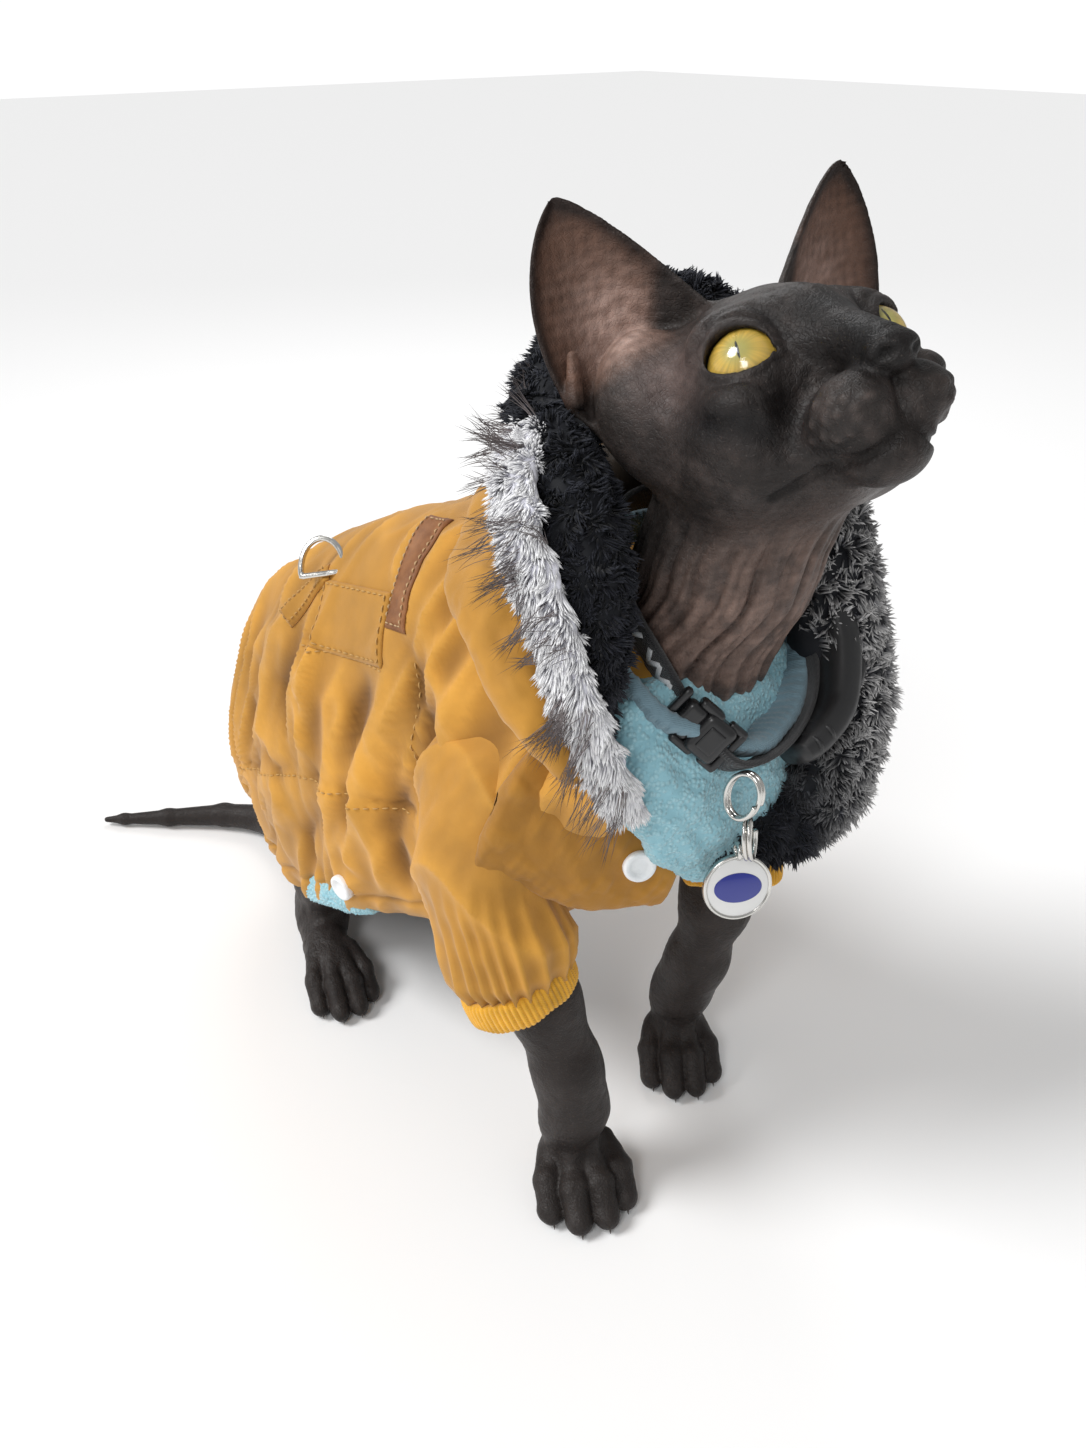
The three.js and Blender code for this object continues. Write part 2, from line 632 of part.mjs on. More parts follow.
const frontFlap = (grow) => limb(FRONT_FLAP, { sides: 8, steps: 5, across: [0.6, 0.8, 0], grow, power: 0.7 });

// A tapered lock of fur that droops towards its tip
function lock(root, way, length, radius, grow) {
  const side = way.clone().cross(new THREE.Vector3(0, 0, 1)).normalize();
  const up = side.clone().cross(way).normalize();
  const shape = [[0, 1], [0.55, 0.75], [1, 0.12]];
  const rings = shape.map(([t, wide]) => {
    const middle = root.clone().addScaledVector(way, (length + grow) * t);
    middle.z -= 0.18 * length * t * t;
    return ring(middle, side, up, radius * wide + grow, radius * wide + grow, 5);
  });
  return stack(rings);
}

// Locks in rows along a roll: each row's angle is measured from the line away from the hub
function locks(stations, { count, angles, lean, length, radius, sunk, grow = 0 }) {
  const { places, sizes } = curves(stations);
  const made = [];
  angles.forEach((angle, row) => {
    for (let i = 0; i < count; i++) {
      const t = (i + 0.25 + 0.5 * (row % 2)) / count;
      const tangent = places.getTangent(t);
      const centre = places.getPoint(t);
      const out = centre.clone().sub(vec(HOOD_HUB));
      out.addScaledVector(tangent, -out.dot(tangent)).normalize();
      const beside = tangent.clone().cross(out);
      const size = sizes.getPoint(t);
      const way = out.clone().multiplyScalar(Math.cos(angle)).addScaledVector(beside, Math.sin(angle));
      const root = centre.clone().addScaledVector(out, (size.x - sunk) * Math.cos(angle));
      root.addScaledVector(beside, (size.y - sunk) * Math.sin(angle));
      made.push(lock(root, way.addScaledVector(tangent, lean).normalize(), length, radius, grow));
    }
  });
  return wasm.Manifold.union(made);
}
const furLocks = (grow) =>
  locks(FUR_EDGE, { count: 16, angles: [0.2, 1.5], lean: 1.1, length: 16, radius: 7, sunk: 6.5, grow });
const bothSides = (make) => ["right", "left"].map(make);
const paw = (name, grow) => makePaw(PAWS[name], name.startsWith("hind"), grow);

const cat = new THREE.Group();
function add(name, made, material) {
  const onFloor = made.boundingBox().min[2] < 0.01 ? made.subtract(floorBlock) : made;
  const mesh = new THREE.Mesh(geometryOf(largest(onFloor.simplify(CLEAN))), material);
  mesh.name = name;
  cat.add(mesh);
}

// The cat, from the head down
add("head", makeHead(0), SKIN);
const headCut = makeHead(GAP);
for (const side of ["left", "right"]) {
  add("ear_" + side, makeEar(sidesOf[side]).subtract(headCut), EAR_SKIN);
  add("eye_" + side, makeEye(sidesOf[side]), EYE);
}
add("neck", neck(0).subtract(headCut), THROAT_SKIN);
for (const name of Object.keys(PAWS)) add(name, paw(name, 0), SKIN);
for (const side of ["left", "right"]) {
  add("foreleg_" + side, foreleg(side, 0).subtract(paw("forepaw_" + side, GAP)), SKIN);
  add("hindleg_" + side, cutaway(hindleg(side, 0), paw("hindpaw_" + side, GAP)), SKIN);
}
const limbs = bothSides((side) => foreleg(side, GAP)).concat(bothSides((side) => hindleg(side, GAP)));
add("torso", cutaway(trunk(0), neck(GAP), ...limbs), SKIN);
add("tail_root", cutaway(limb(TAIL_ROOT, { sides: 10, steps: 4 }), trunk(GAP), ...limbs), SKIN);
add("tail_tip", cutaway(limb(TAIL_TIP, { sides: 9, steps: 9 }), limb(TAIL_ROOT, { sides: 10, steps: 4, grow: GAP })), SKIN);

// Collar, shirt and hood
const body = [headCut, neck(GAP), trunk(GAP), ...limbs, makeEar(-1, GAP + CLEAN), makeEar(1, GAP + CLEAN)];
add("collar_strap", cutaway(strap(0), ...body), STRAP_WEB);
add("shirt_neckband", cutaway(neckband(0), ...body, strap(GAP)), SHIRT_KNIT);
add("shirt_bib", cutaway(bib(0), ...body, strap(GAP), neckband(GAP)), SHIRT_KNIT);
const dressed = [...body, strap(GAP), neckband(GAP), bib(GAP)];
const outer = [coat(GAP), hoodCloth(GAP), frontFlap(GAP), ...bothSides((side) => sleeve(side, GAP))];
const looseLocks = cutaway(furLocks(0), ...dressed, plush(GAP), ...outer);
add("hood_fur_edge", cutaway(furEdge(0), ...dressed).add(looseLocks), TRIM_FUR);
add("hood_cloth", cutaway(hoodCloth(0), ...dressed, plush(GAP), furEdge(GAP)), COAT_CLOTH);

// Hardware on the collar
const rings = (grow) => [
  link(7, 1.2 + grow, [-1, -175.5, 181.5], [0.2, 0, 0.5], 1.3),
  link(4.6, 0.9 + grow, [-1, -176, 165], [0.2, 0, 1.9], 1.3),
];
const buckle = (grow) =>
  slab([21 + 2 * grow, 8 + 2 * grow, 15 + 2 * grow], [-9.5, -163, 203], [-0.75, -0.75, -0.9]);
const tracker = (grow) => limb(TRACKER, { sides: 10, steps: 8, across: [0, -0.5, 0.8], power: 0.7, grow });
add("collar_buckle", cutaway(buckle(0), strap(GAP), neck(GAP), neckband(GAP), plush(GAP), bib(GAP)), BLACK_PLASTIC);
add("collar_tracker", cutaway(tracker(0), strap(GAP), neck(GAP), plush(GAP), neckband(GAP)), BLACK_PLASTIC);
const [bigRing, smallRing] = rings(0);
const smallRingCut = rings(GAP)[1];
const collarParts = [strap(GAP), buckle(GAP), tracker(GAP)];
add("ring_large", cutaway(bigRing, ...collarParts, bib(GAP), neckband(GAP), plush(GAP)), STEEL);
add("ring_small", cutaway(smallRing, bib(GAP), plush(GAP)), STEEL);
const tag = (grow) => plate(TAG_RADIUS + grow, TAG_THICK + 2 * grow, TAG_AT, TAG_AIM);
add("tag", cutaway(tag(0), smallRingCut, bib(GAP), plush(GAP)), TAG_ENAMEL);
add("hood_plush", cutaway(plush(0), ...dressed, furEdge(GAP)), PLUSH);

// Coat
const hood = [plush(GAP), furEdge(GAP), hoodCloth(GAP), tag(GAP), ...collarParts];
const tail = limb(TAIL_ROOT, { sides: 10, steps: 4, grow: GAP });
const hemCut = slab([240, 400, 200], [0, 24, -53], [-0.36, 0, 0]);
const inside = [...dressed, ...hood, tail, paw("hindpaw_left", GAP)];
add("coat_body", cutaway(coat(0), ...inside, hemCut), COAT_CLOTH);
add("coat_flap", cutaway(frontFlap(0), coat(GAP), ...bothSides((side) => sleeve(side, GAP)), ...dressed, ...hood), COAT_CLOTH);
// A piece of cloth sewn flat on the coat: the part of a slightly larger coat that lies under a box
const sewn = (spot, thick, grow = 0) => {
  const [wide, long, deep] = spot.size;
  const box = onSurface(spot, new THREE.BoxGeometry(wide + 2 * grow, long + 2 * grow, deep));
  return coat(thick + grow).intersect(box).subtract(coat(GAP - grow));
};
const backRing = (grow) =>
  onSurface(BACK_RING, new THREE.TorusGeometry(BACK_RING.radius, BACK_RING.wire + grow, 6, 18));
add("pocket_flap", cutaway(sewn(POCKET_FLAP, 1.9), sewn(BACK_TAB, 3, GAP), backRing(GAP), ...hood), COAT_CLOTH);
add("back_tab", cutaway(sewn(BACK_TAB, 3), backRing(GAP)), COAT_CLOTH);
add("back_ring", cutaway(backRing(0), coat(GAP)), STEEL);
add("back_label", cutaway(sewn(LABEL, 2.2), sewn(POCKET_FLAP, 1.9, GAP), ...hood), LEATHER);
add("snap_hem", cutaway(snap(HEM_SNAP, 0), coat(GAP)), SNAP_PLASTIC);
add("snap_chest", cutaway(snap(CHEST_SNAP, 0), frontFlap(GAP), coat(GAP)), SNAP_PLASTIC);
const shirtHem = limb(SHIRT_HEM, { sides: 8, steps: 5, across: [1, 0, 0], power: 0.6 });
add("shirt_hem", cutaway(shirtHem, coat(GAP), snap(HEM_SNAP, GAP), ...limbs, trunk(GAP)), SHIRT_KNIT);
for (const side of ["left", "right"]) {
  const mouth = slab([80, 80, 60], vec(CUFF[side].at).addScaledVector(vec(CUFF[side].aim).normalize(), 24.5).toArray(), [
    0.35, side === "left" ? 0.25 : -0.1, 0,
  ]);
  add("sleeve_" + side, cutaway(sleeve(side, 0), ...dressed, ...hood, coat(GAP), mouth), COAT_CLOTH);
  add("cuff_" + side, cutaway(makeCuff(CUFF[side]), foreleg(side, GAP), sleeve(side, GAP).subtract(mouth)), CUFF_KNIT);
}
cat.position.set(...ORIGIN_SHIFT);
export default cat;
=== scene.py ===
"""A sphynx cat at life size, half sitting in a hooded coat and looking up, set for a studio picture.

Shapes are worked out in millimetres in the cat's own frame (it faces -Y, its left is +X and the
floor is z = 0) and become metres in the shared frame when a mesh is made.
"""

from __future__ import annotations

import logging
import math
from collections.abc import Callable, Iterable, Sequence
from dataclasses import dataclass
from enum import Enum

import bmesh
import bpy
import numpy as np
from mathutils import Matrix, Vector
from mathutils.bvhtree import BVHTree

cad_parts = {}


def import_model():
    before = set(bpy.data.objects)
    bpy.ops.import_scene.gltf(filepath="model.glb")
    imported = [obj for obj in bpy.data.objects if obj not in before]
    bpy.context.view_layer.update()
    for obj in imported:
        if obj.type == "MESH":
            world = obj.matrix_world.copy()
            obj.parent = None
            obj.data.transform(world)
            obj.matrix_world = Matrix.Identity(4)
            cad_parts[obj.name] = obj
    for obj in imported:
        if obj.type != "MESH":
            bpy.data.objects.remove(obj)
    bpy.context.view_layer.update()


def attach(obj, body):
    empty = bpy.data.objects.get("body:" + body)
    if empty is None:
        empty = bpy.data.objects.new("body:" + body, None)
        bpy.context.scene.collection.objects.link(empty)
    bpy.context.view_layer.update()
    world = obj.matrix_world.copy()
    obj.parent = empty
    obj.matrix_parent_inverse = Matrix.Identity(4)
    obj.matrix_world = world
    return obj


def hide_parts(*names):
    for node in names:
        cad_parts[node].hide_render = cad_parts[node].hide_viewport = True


LOG = logging.getLogger("cat")
# Short names for the types that the signatures use
Array = np.ndarray
Points = Array
Field = Callable[[Points], Array]
Rows = Sequence[Sequence[float]]
Table = tuple[tuple[float, ...], ...]
Triple = tuple[float, float, float]
Solid = tuple[Points, list[Array]]
Object = bpy.types.Object
Material = bpy.types.Material
Socket = bpy.types.NodeSocket
Tree = bpy.types.NodeTree

# The shared frame's origin is the middle of the footprint; this is the step to it, in mm
TO_FRAME = np.array([-10.34, 3.37, 0.0])
# Cells along one side of the rough blocks that are tried before single cells
BLOCK = 4
# The most points that a distance is worked out for at once
BATCH = 400000
# How far from their targets falling points start, in mm
DROP = 30.0


class Side(Enum):
    """The two sides of the cat, by the sign of x."""

    RIGHT = -1
    LEFT = 1

    @property
    def word(self) -> str:
        """The side's name in lower case."""
        return self.name.lower()


def unit(v: Sequence[float]) -> Array:
    """The vector at length 1."""
    return np.asarray(v, float) / np.linalg.norm(v)


def metres(points: Points) -> Points:
    """Millimetres in the cat's frame to metres in the shared frame."""
    return (np.asarray(points, float) + TO_FRAME) / 1000.0


def mirrored(p: Points) -> Points:
    """The points, with those at the right side of x = 0 moved to its left side."""
    q = p.copy()
    q[:, 0] = np.abs(q[:, 0])
    return q


def turns(count: int) -> Array:
    """Even angles round one turn."""
    return np.arange(count) * 2 * math.pi / count


def squared(angle: Array, power: float) -> tuple[Array, Array]:
    """The cosine and sine of each angle; a power under 1 squares the round that they draw."""
    c, s = np.cos(angle), np.sin(angle)
    return np.sign(c) * np.abs(c) ** power, np.sign(s) * np.abs(s) ** power


def ramp(x: Array, low: float, high: float) -> Array:
    """A smooth step from 0 at low to 1 at high."""
    t = np.clip((x - low) / (high - low), 0.0, 1.0)
    return t * t * (3 - 2 * t)


def wave_noise(p: Points, scale: float, seed: int, octaves: int = 3) -> Array:
    """Soft noise in about -1 to 1 from sums of sines, the same on every run.

    Args:
        p: points, in mm.
        scale: the size of the largest lumps, in mm.
        seed: picks the pattern.
        octaves: how many finer layers are added.

    Returns:
        One value for each point.
    """
    rng = np.random.default_rng(seed)
    out = np.zeros(len(p))
    total = 0.0
    for octave in range(octaves):
        weight = 0.5**octave
        total += weight
        for _ in range(4):
            direction = unit(rng.normal(size=3)) * (2 * math.pi / scale) * 2**octave
            out += weight * np.sin(p @ direction + rng.uniform(0, 6.28)) / 2.0
    return out / total


# Distances, negative inside


def soft_min(a: Array, b: Array, k: float) -> Array:
    """The lower of two distances, blended over k mm."""
    h = np.maximum(k - np.abs(a - b), 0.0) / k
    return np.minimum(a, b) - h * h * k * 0.25


def soft_max(a: Array, b: Array, k: float) -> Array:
    """The higher of two distances, blended over k mm."""
    return -soft_min(-a, -b, k)


def ellipsoid(p: Points, centre: Sequence[float], radii: Sequence[float]) -> Array:
    """Distance to an ellipsoid with its axes along x, y and z."""
    q = (p - centre) / radii
    k0 = np.sqrt((q * q).sum(1))
    q = q / radii
    k1 = np.sqrt((q * q).sum(1)) + 1e-9
    return k0 * (k0 - 1) / k1


def capsule(p: Points, a: Sequence[float], b: Sequence[float], ra: float, rb: float) -> Array:
    """Distance to a round bar from a to b whose radius runs from ra to rb."""
    ab = np.subtract(b, a)
    h = np.clip(((p - a) @ ab) / (ab @ ab), 0, 1)
    return np.linalg.norm(p - a - h[:, None] * ab, axis=1) - (ra + (rb - ra) * h)


def chain(p: Points, stations: Rows, k: float = 0.0) -> Array:
    """Distance to round bars through stations of x, y, z, radius."""
    d = None
    for s, e in zip(stations[:-1], stations[1:]):
        one = capsule(p, s[:3], e[:3], s[3], e[3])
        d = one if d is None else (soft_min(d, one, k) if k else np.minimum(d, one))
    return d


def polygonise(
    shape: Field, low: Sequence[float], high: Sequence[float], step: float
) -> tuple[Points, Array]:
    """Turns a distance field into a closed surface of four-sided faces.

    Args:
        shape: the distance field, negative inside.
        low: the lowest corner of the box that is searched.
        high: its highest corner. The surface is closed off where it leaves the box.
        step: the size of a cell, in mm.

    Returns:
        The vertices and the faces.
    """
    low = np.asarray(low, float)
    blocks = np.ceil((np.asarray(high) - low) / step / BLOCK).astype(int) + 1
    centre = [low[k] + (np.arange(blocks[k]) + 0.5) * BLOCK * step for k in range(3)]
    rough = shape(np.stack(np.meshgrid(*centre, indexing="ij"), -1).reshape(-1, 3)).reshape(blocks)

    def spread(one_each: Array) -> Array:
        """Gives each cell the value of its block."""
        for axis in range(3):
            one_each = np.repeat(one_each, BLOCK, axis)
        return one_each

    values = spread(rough).astype(np.float32)
    mask = spread(np.abs(rough) < step * BLOCK * 1.25)
    index = np.argwhere(mask)
    parts = np.array_split(index, max(1, len(index) // BATCH))
    values[mask] = np.concatenate([shape(low + part * step) for part in parts])
    for axis in range(3):
        edge = [slice(None)] * 3
        for end in (0, -1):
            edge[axis] = end
            values[tuple(edge)] = np.maximum(values[tuple(edge)], 0.5)
    inside = values < 0
    cells, places, quads = [], [], []
    strides = np.array([values.shape[1] * values.shape[2], values.shape[2], 1])
    for axis in range(3):
        first = [slice(None)] * 3
        second = [slice(None)] * 3
        first[axis], second[axis] = slice(None, -1), slice(1, None)
        cross = inside[tuple(first)] != inside[tuple(second)]
        at = np.argwhere(cross)
        v0 = values[tuple(first)][cross].astype(float)
        v1 = values[tuple(second)][cross].astype(float)
        point = at.astype(float)
        point[:, axis] += v0 / (v0 - v1)
        others = [k for k in range(3) if k != axis]
        around = []
        for da, db in ((0, 0), (1, 0), (1, 1), (0, 1)):
            cell = at.copy()
            cell[:, others[0]] -= da
            cell[:, others[1]] -= db
            around.append(cell @ strides)
            cells.append(around[-1])
            places.append(point)
        quad = np.stack(around, 1)
        flip = (v0 < 0) if axis != 1 else (v0 >= 0)
        quad[flip] = quad[flip][:, ::-1]
        quads.append(quad)
    cell = np.concatenate(cells)
    place = np.concatenate(places)
    used, inverse = np.unique(cell, return_inverse=True)
    n = np.bincount(inverse)
    points = np.stack([np.bincount(inverse, place[:, k]) / n for k in range(3)], 1)
    points = low + points * step
    faces = np.searchsorted(used, np.concatenate(quads))
    for _ in range(2):
        points = settle(shape, points, step)
    return points, faces[:, ::-1]


def slope(shape: Field, points: Points, reach: float) -> tuple[Array, Points]:
    """The field's value and its gradient at each point, from four samples round it."""
    corners = np.array([[1, 1, 1], [1, -1, -1], [-1, 1, -1], [-1, -1, 1]], float)
    samples = [shape(points + c * reach) for c in corners]
    value = sum(samples) / 4
    gradient = sum(s[:, None] * c for s, c in zip(samples, corners)) / (4 * reach)
    return value, gradient


def settle(shape: Field, points: Points, step: float) -> Points:
    """Moves points onto the field's surface, by at most half a cell."""
    value, gradient = slope(shape, points, step * 0.35)
    move = -value[:, None] * gradient / np.maximum((gradient**2).sum(1), 0.2)[:, None]
    length = np.linalg.norm(move, axis=1, keepdims=True)
    return points + move * np.minimum(1.0, step * 0.5 / np.maximum(length, 1e-9))


# Meshes


def make_mesh(
    name: str,
    points: Points,
    faces: Sequence[Array] | Array,
    colours: Array | None = None,
    uv: Array | None = None,
) -> Object:
    """Makes a smooth-shaded object of a mesh.

    Args:
        name: the piece's name.
        points: vertices, in mm in the cat's frame.
        faces: one array of faces with equal corner counts, or several such arrays.
        colours: a colour for each vertex, kept as the attribute Paint.
        uv: a place on the OFBake map for each vertex.

    Returns:
        The object, linked to the scene.
    """
    groups = [faces] if isinstance(faces, np.ndarray) else [np.asarray(f) for f in faces if len(f)]
    mesh = bpy.data.meshes.new(name)
    place = metres(points)
    mesh.vertices.add(len(place))
    mesh.vertices.foreach_set("co", place.astype(np.float32).ravel())
    corners = np.concatenate([g.ravel() for g in groups])
    sizes = np.concatenate([np.full(len(g), g.shape[1]) for g in groups])
    mesh.loops.add(len(corners))
    mesh.loops.foreach_set("vertex_index", corners.astype(np.int32))
    mesh.polygons.add(len(sizes))
    starts = np.concatenate([[0], np.cumsum(sizes)[:-1]])
    mesh.polygons.foreach_set("loop_start", starts.astype(np.int32))
    mesh.polygons.foreach_set("use_smooth", np.full(len(sizes), True))
    mesh.update(calc_edges=True)
    mesh.validate()
    if colours is not None:
        layer = mesh.color_attributes.new("Paint", "FLOAT_COLOR", "POINT")
        rgba = np.ones((len(place), 4), np.float32)
        rgba[:, :3] = colours
        layer.data.foreach_set("color", rgba.ravel())
    if uv is not None:
        layer = mesh.uv_layers.new(name="OFBake")
        layer.data.foreach_set("uv", uv[corners].astype(np.float32).ravel())
    made = bpy.data.objects.new(name, mesh)
    bpy.context.scene.collection.objects.link(made)
    return made


def keep(
    piece: Object,
    material: Material,
    nodes: Iterable[str] = (),
) -> Object:
    """Dresses a piece, lets it ride on the cat and hides the imported nodes that it stands for."""
    piece.data.materials.clear()
    piece.data.materials.append(material)
    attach(piece, "root")
    names = list(nodes)
    if names:
        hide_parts(*names)
    LOG.info("%s: %d faces", piece.name, len(piece.data.polygons))
    return piece


def merged(parts: Sequence[Solid]) -> Solid:
    """Puts several meshes, each with a list of face arrays, into one."""
    points, faces, start = [], [], 0
    for p, groups in parts:
        points.append(p)
        faces += [np.asarray(f) + start for f in groups]
        start += len(p)
    return np.concatenate(points), faces


def curve(stations: Rows, t: Array, closed: bool = False) -> Array:
    """A smooth curve through stations.

    Args:
        stations: rows of any width.
        t: places from 0 to 1 along the rows.
        closed: whether the last row joins the first.

    Returns:
        One row for each t.
    """
    s = np.asarray(stations, float)
    n = len(s)
    x = (np.asarray(t, float) % 1.0) * n if closed else np.clip(t, 0, 1) * (n - 1)
    i = np.floor(x).astype(int)
    if not closed:
        i = np.minimum(i, n - 2)
    f = (x - i)[:, None]

    def row(k: Array) -> Array:
        """The stations of these numbers, wrapped or held at the ends."""
        return s[k % n] if closed else s[np.clip(k, 0, n - 1)]

    a, b, c, d = row(i - 1), row(i), row(i + 1), row(i + 2)
    if not closed:
        a = np.where((i == 0)[:, None], 2 * b - c, a)
        d = np.where((i == n - 2)[:, None], 2 * c - b, d)
    square = (2 * a - 5 * b + 4 * c - d) * f**2
    return 0.5 * (2 * b + (c - a) * f + square + (3 * b - a - 3 * c + d) * f**3)


def along(path: Points, closed: bool = False) -> Points:
    """The direction of travel at each point of a path."""
    if closed:
        step = np.roll(path, -1, 0) - np.roll(path, 1, 0)
    else:
        step = np.gradient(path, axis=0)
    return step / np.maximum(np.linalg.norm(step, axis=1, keepdims=True), 1e-9)


def grid_faces(rows: int, columns: int, wrap_rows: bool = False, wrap_columns: bool = True) -> Array:
    """Four-sided faces over a grid of points, laid row by row."""
    r = np.arange(rows if wrap_rows else rows - 1)
    c = np.arange(columns if wrap_columns else columns - 1)
    r, c = np.meshgrid(r, c, indexing="ij")
    r2, c2 = (r + 1) % rows, (c + 1) % columns
    corners = [r * columns + c, r * columns + c2, r2 * columns + c2, r2 * columns + c]
    return np.stack(corners, -1).reshape(-1, 4)


def grid_mesh(name: str, grid: Points, colours: Array | None = None) -> Object:
    """Makes an object of a grid whose columns wrap, with its faces looking outwards."""
    flat = grid.reshape(-1, 3)
    faces = grid_faces(*grid.shape[:2])
    a, b, c = (flat[faces[:, k]] for k in range(3))
    if ((a - grid.mean((0, 1))) * np.cross(b - a, c - a)).sum() <= 0:
        faces = faces[:, ::-1]
    return make_mesh(name, flat, faces, colours)


def tube(
    path: Points,
    across: float | Array,
    deep: float | Array,
    side: Sequence[float] | Points = (0, 0, 1),
    sides: int = 12,
    closed: bool = False,
    power: float = 1.0,
) -> Solid:
    """A bar of rounded section along a path.

    Args:
        path: the middle line.
        across: half size along the side vector.
        deep: half size square to it.
        side: which way the section's first axis points, one or one for each point.
        sides: corners of the section.
        closed: whether the path is a loop.
        power: under 1 squares the section.

    Returns:
        The vertices and the faces, with flat ends on an open path.
    """
    n = len(path)
    way = along(path, closed)
    first = np.broadcast_to(np.asarray(side, float), (n, 3))
    first = first - (first * way).sum(1, keepdims=True) * way
    first = first / np.maximum(np.linalg.norm(first, axis=1, keepdims=True), 1e-9)
    second = np.cross(way, first)
    c, s = squared(turns(sides), power)
    a = np.broadcast_to(np.asarray(across, float), (n,))[:, None, None]
    d = np.broadcast_to(np.asarray(deep, float), (n,))[:, None, None]
    points = path[:, None] + a * c[:, None] * first[:, None] + d * s[:, None] * second[:, None]
    faces = [grid_faces(n, sides, wrap_rows=closed)]
    if not closed:
        faces.append(np.arange(sides)[None, ::-1])
        faces.append(np.arange(sides)[None, :] + (n - 1) * sides)
    return points.reshape(-1, 3), faces


# The cat's own shape, as distances


@dataclass
class HeadShape:
    """The head in its own frame: x to the cat's left, -y to the nose, z up."""

    at: Triple = (16.8, -160.7, 288.8)
    turn_degrees: Triple = (-37.07, -4.67, -21.15)
    eye: Triple = (17.8, -20.6, 7.6)
    eye_radius: float = 10.4
    gaze: Triple = (0.5, -0.83, 0.25)
    ear_base: Triple = (25.5, 8.0, 18.0)
    ear_axes: Table = (
        (0.906, 0.303, -0.298), (-0.258, 0.950, 0.181), (0.338, -0.087, 0.937),
    )
    ear_length: float = 57.5
    mouth: Table = (
        (20.5, -18.0, -24.7, 0.5), (15.6, -24.4, -24.4, 1.0), (12.8, -30.0, -24.0, 1.4),
        (11.6, -37.4, -24.9, 1.3), (10.0, -44.4, -26.0, 0.9), (7.0, -49.0, -25.6, 0.9),
        (2.7, -51.6, -23.2, 1.0), (0.0, -52.0, -21.5, 1.0),
    )
    hollow: Table = (
        (32.5, -3.3, 10.9), (34.0, -14.3, 0.5), (33.0, -26.0, -7.5), (27.2, -30.3, -10.7),
        (21.4, -31.0, -13.2), (16.1, -33.6, -6.4),
    )
    bumps: Table = (
        (16.8, -42.8, -10.9), (16.2, -48.0, -12.4), (14.3, -51.3, -13.2), (17.3, -39.9, -14.6),
        (17.1, -45.3, -15.5), (15.8, -48.9, -16.0), (16.2, -36.2, -17.6), (16.4, -41.7, -18.7),
        (14.9, -44.2, -20.4), (13.1, -52.3, -16.2), (12.5, -51.5, -18.4), (10.6, -54.6, -14.6),
        (13.4, -47.5, -21.0),
    )

    def __post_init__(self) -> None:
        """Works out the head's turn as a matrix whose columns are its axes."""
        x, y, z = (math.radians(a) for a in self.turn_degrees)
        rx = np.array([[1, 0, 0], [0, math.cos(x), -math.sin(x)], [0, math.sin(x), math.cos(x)]])
        ry = np.array([[math.cos(y), 0, math.sin(y)], [0, 1, 0], [-math.sin(y), 0, math.cos(y)]])
        rz = np.array([[math.cos(z), -math.sin(z), 0], [math.sin(z), math.cos(z), 0], [0, 0, 1]])
        self.axes = rz @ rx @ ry
        self.pad = (
            (8, -37, 0), (13.4, -32.1, -5.8), (17.4, -30.6, -16), (14.9, -33.6, -20.1),
            (12.7, -40, -22.8), (12.4, -47, -22),
        )
        self.brow = (
            (31, -17, 14), (28, -21.7, 18.6), (23.4, -22.9, 22.5), (16, -23.2, 24), (13.2, -28.5, 18.6),
            (12, -32.2, 10.6),
        )
        tear = ((12.9, -32.2, 8.2), (8.4, -35, 1.2), (13.4, -32.1, -5.8))
        chin = ((16, -24, -28), (11, -33, -32), (8, -42, -33))
        cheek = ((24, -12, -22), (22, -20, -26), (16, -26, -30))
        below = ((26, -30, -1), (20, -33, -2), (15, -33, 0))
        jaw = ((28, -8, -14), (27, -18, -18), (21, -24, -21))
        wing = ((8.2, -50, -2), (7.6, -53.5, -9), (3, -55.5, -11.2))
        # each line of the face with how deep it is pressed in and how wide it is, in mm
        self.lines = (
            (self.hollow, 2.4, 3.8),
            (self.pad, 0.8, 2.6),
            (self.brow, 1.4, 1.2),
            (tear, 0.8, 1.1),
            (chin, 0.6, 1.0),
            (cheek, 0.5, 1.0),
            (below, 0.6, 1.0),
            (jaw, 0.5, 1.2),
            (wing, 0.9, 1.0),
        )

    def local(self, p: Points) -> Points:
        """Points of the cat's frame in the head's own frame."""
        return (p - self.at) @ self.axes

    def world(self, p: Points) -> Points:
        """Points of the head's own frame in the cat's frame."""
        return np.asarray(p, float) @ self.axes.T + self.at

    def skull(self, p: Points) -> Array:
        """Distance to the head without its eyes and ears."""
        q = mirrored(p)
        d = ellipsoid(p, (0, 7, 6), (31, 42, 29.5))
        d = soft_min(d, ellipsoid(q, (19.5, -5, -9), (14.5, 25, 18)), 12)
        d = soft_min(d, ellipsoid(p, (0, -14, -18), (17, 32, 12)), 9)
        d = soft_min(d, ellipsoid(q, (28, 15, 14), (16, 15, 22)), 9)
        d = soft_min(d, capsule(p, (0, -24, 14), (0, -51, -2.5), 8.5, 5.2), 8)
        d = soft_min(d, ellipsoid(q, (17.5, -17, 16.5), (12.5, 10, 8.5)), 6)
        d = soft_min(d, ellipsoid(q, (25, -21, -3.5), (10, 12, 7.5)), 6)
        d = soft_min(d, ellipsoid(q, (8.2, -42.5, -14.2), (9.2, 12, 9.0)), 6.5)
        d = soft_min(d, ellipsoid(p, (0, -41, -26.0), (9.5, 9.5, 6.8)), 7)
        d = soft_min(d, ellipsoid(p, (0, -53.4, -5.0), (6.8, 5.6, 4.9)), 1.6)
        return d

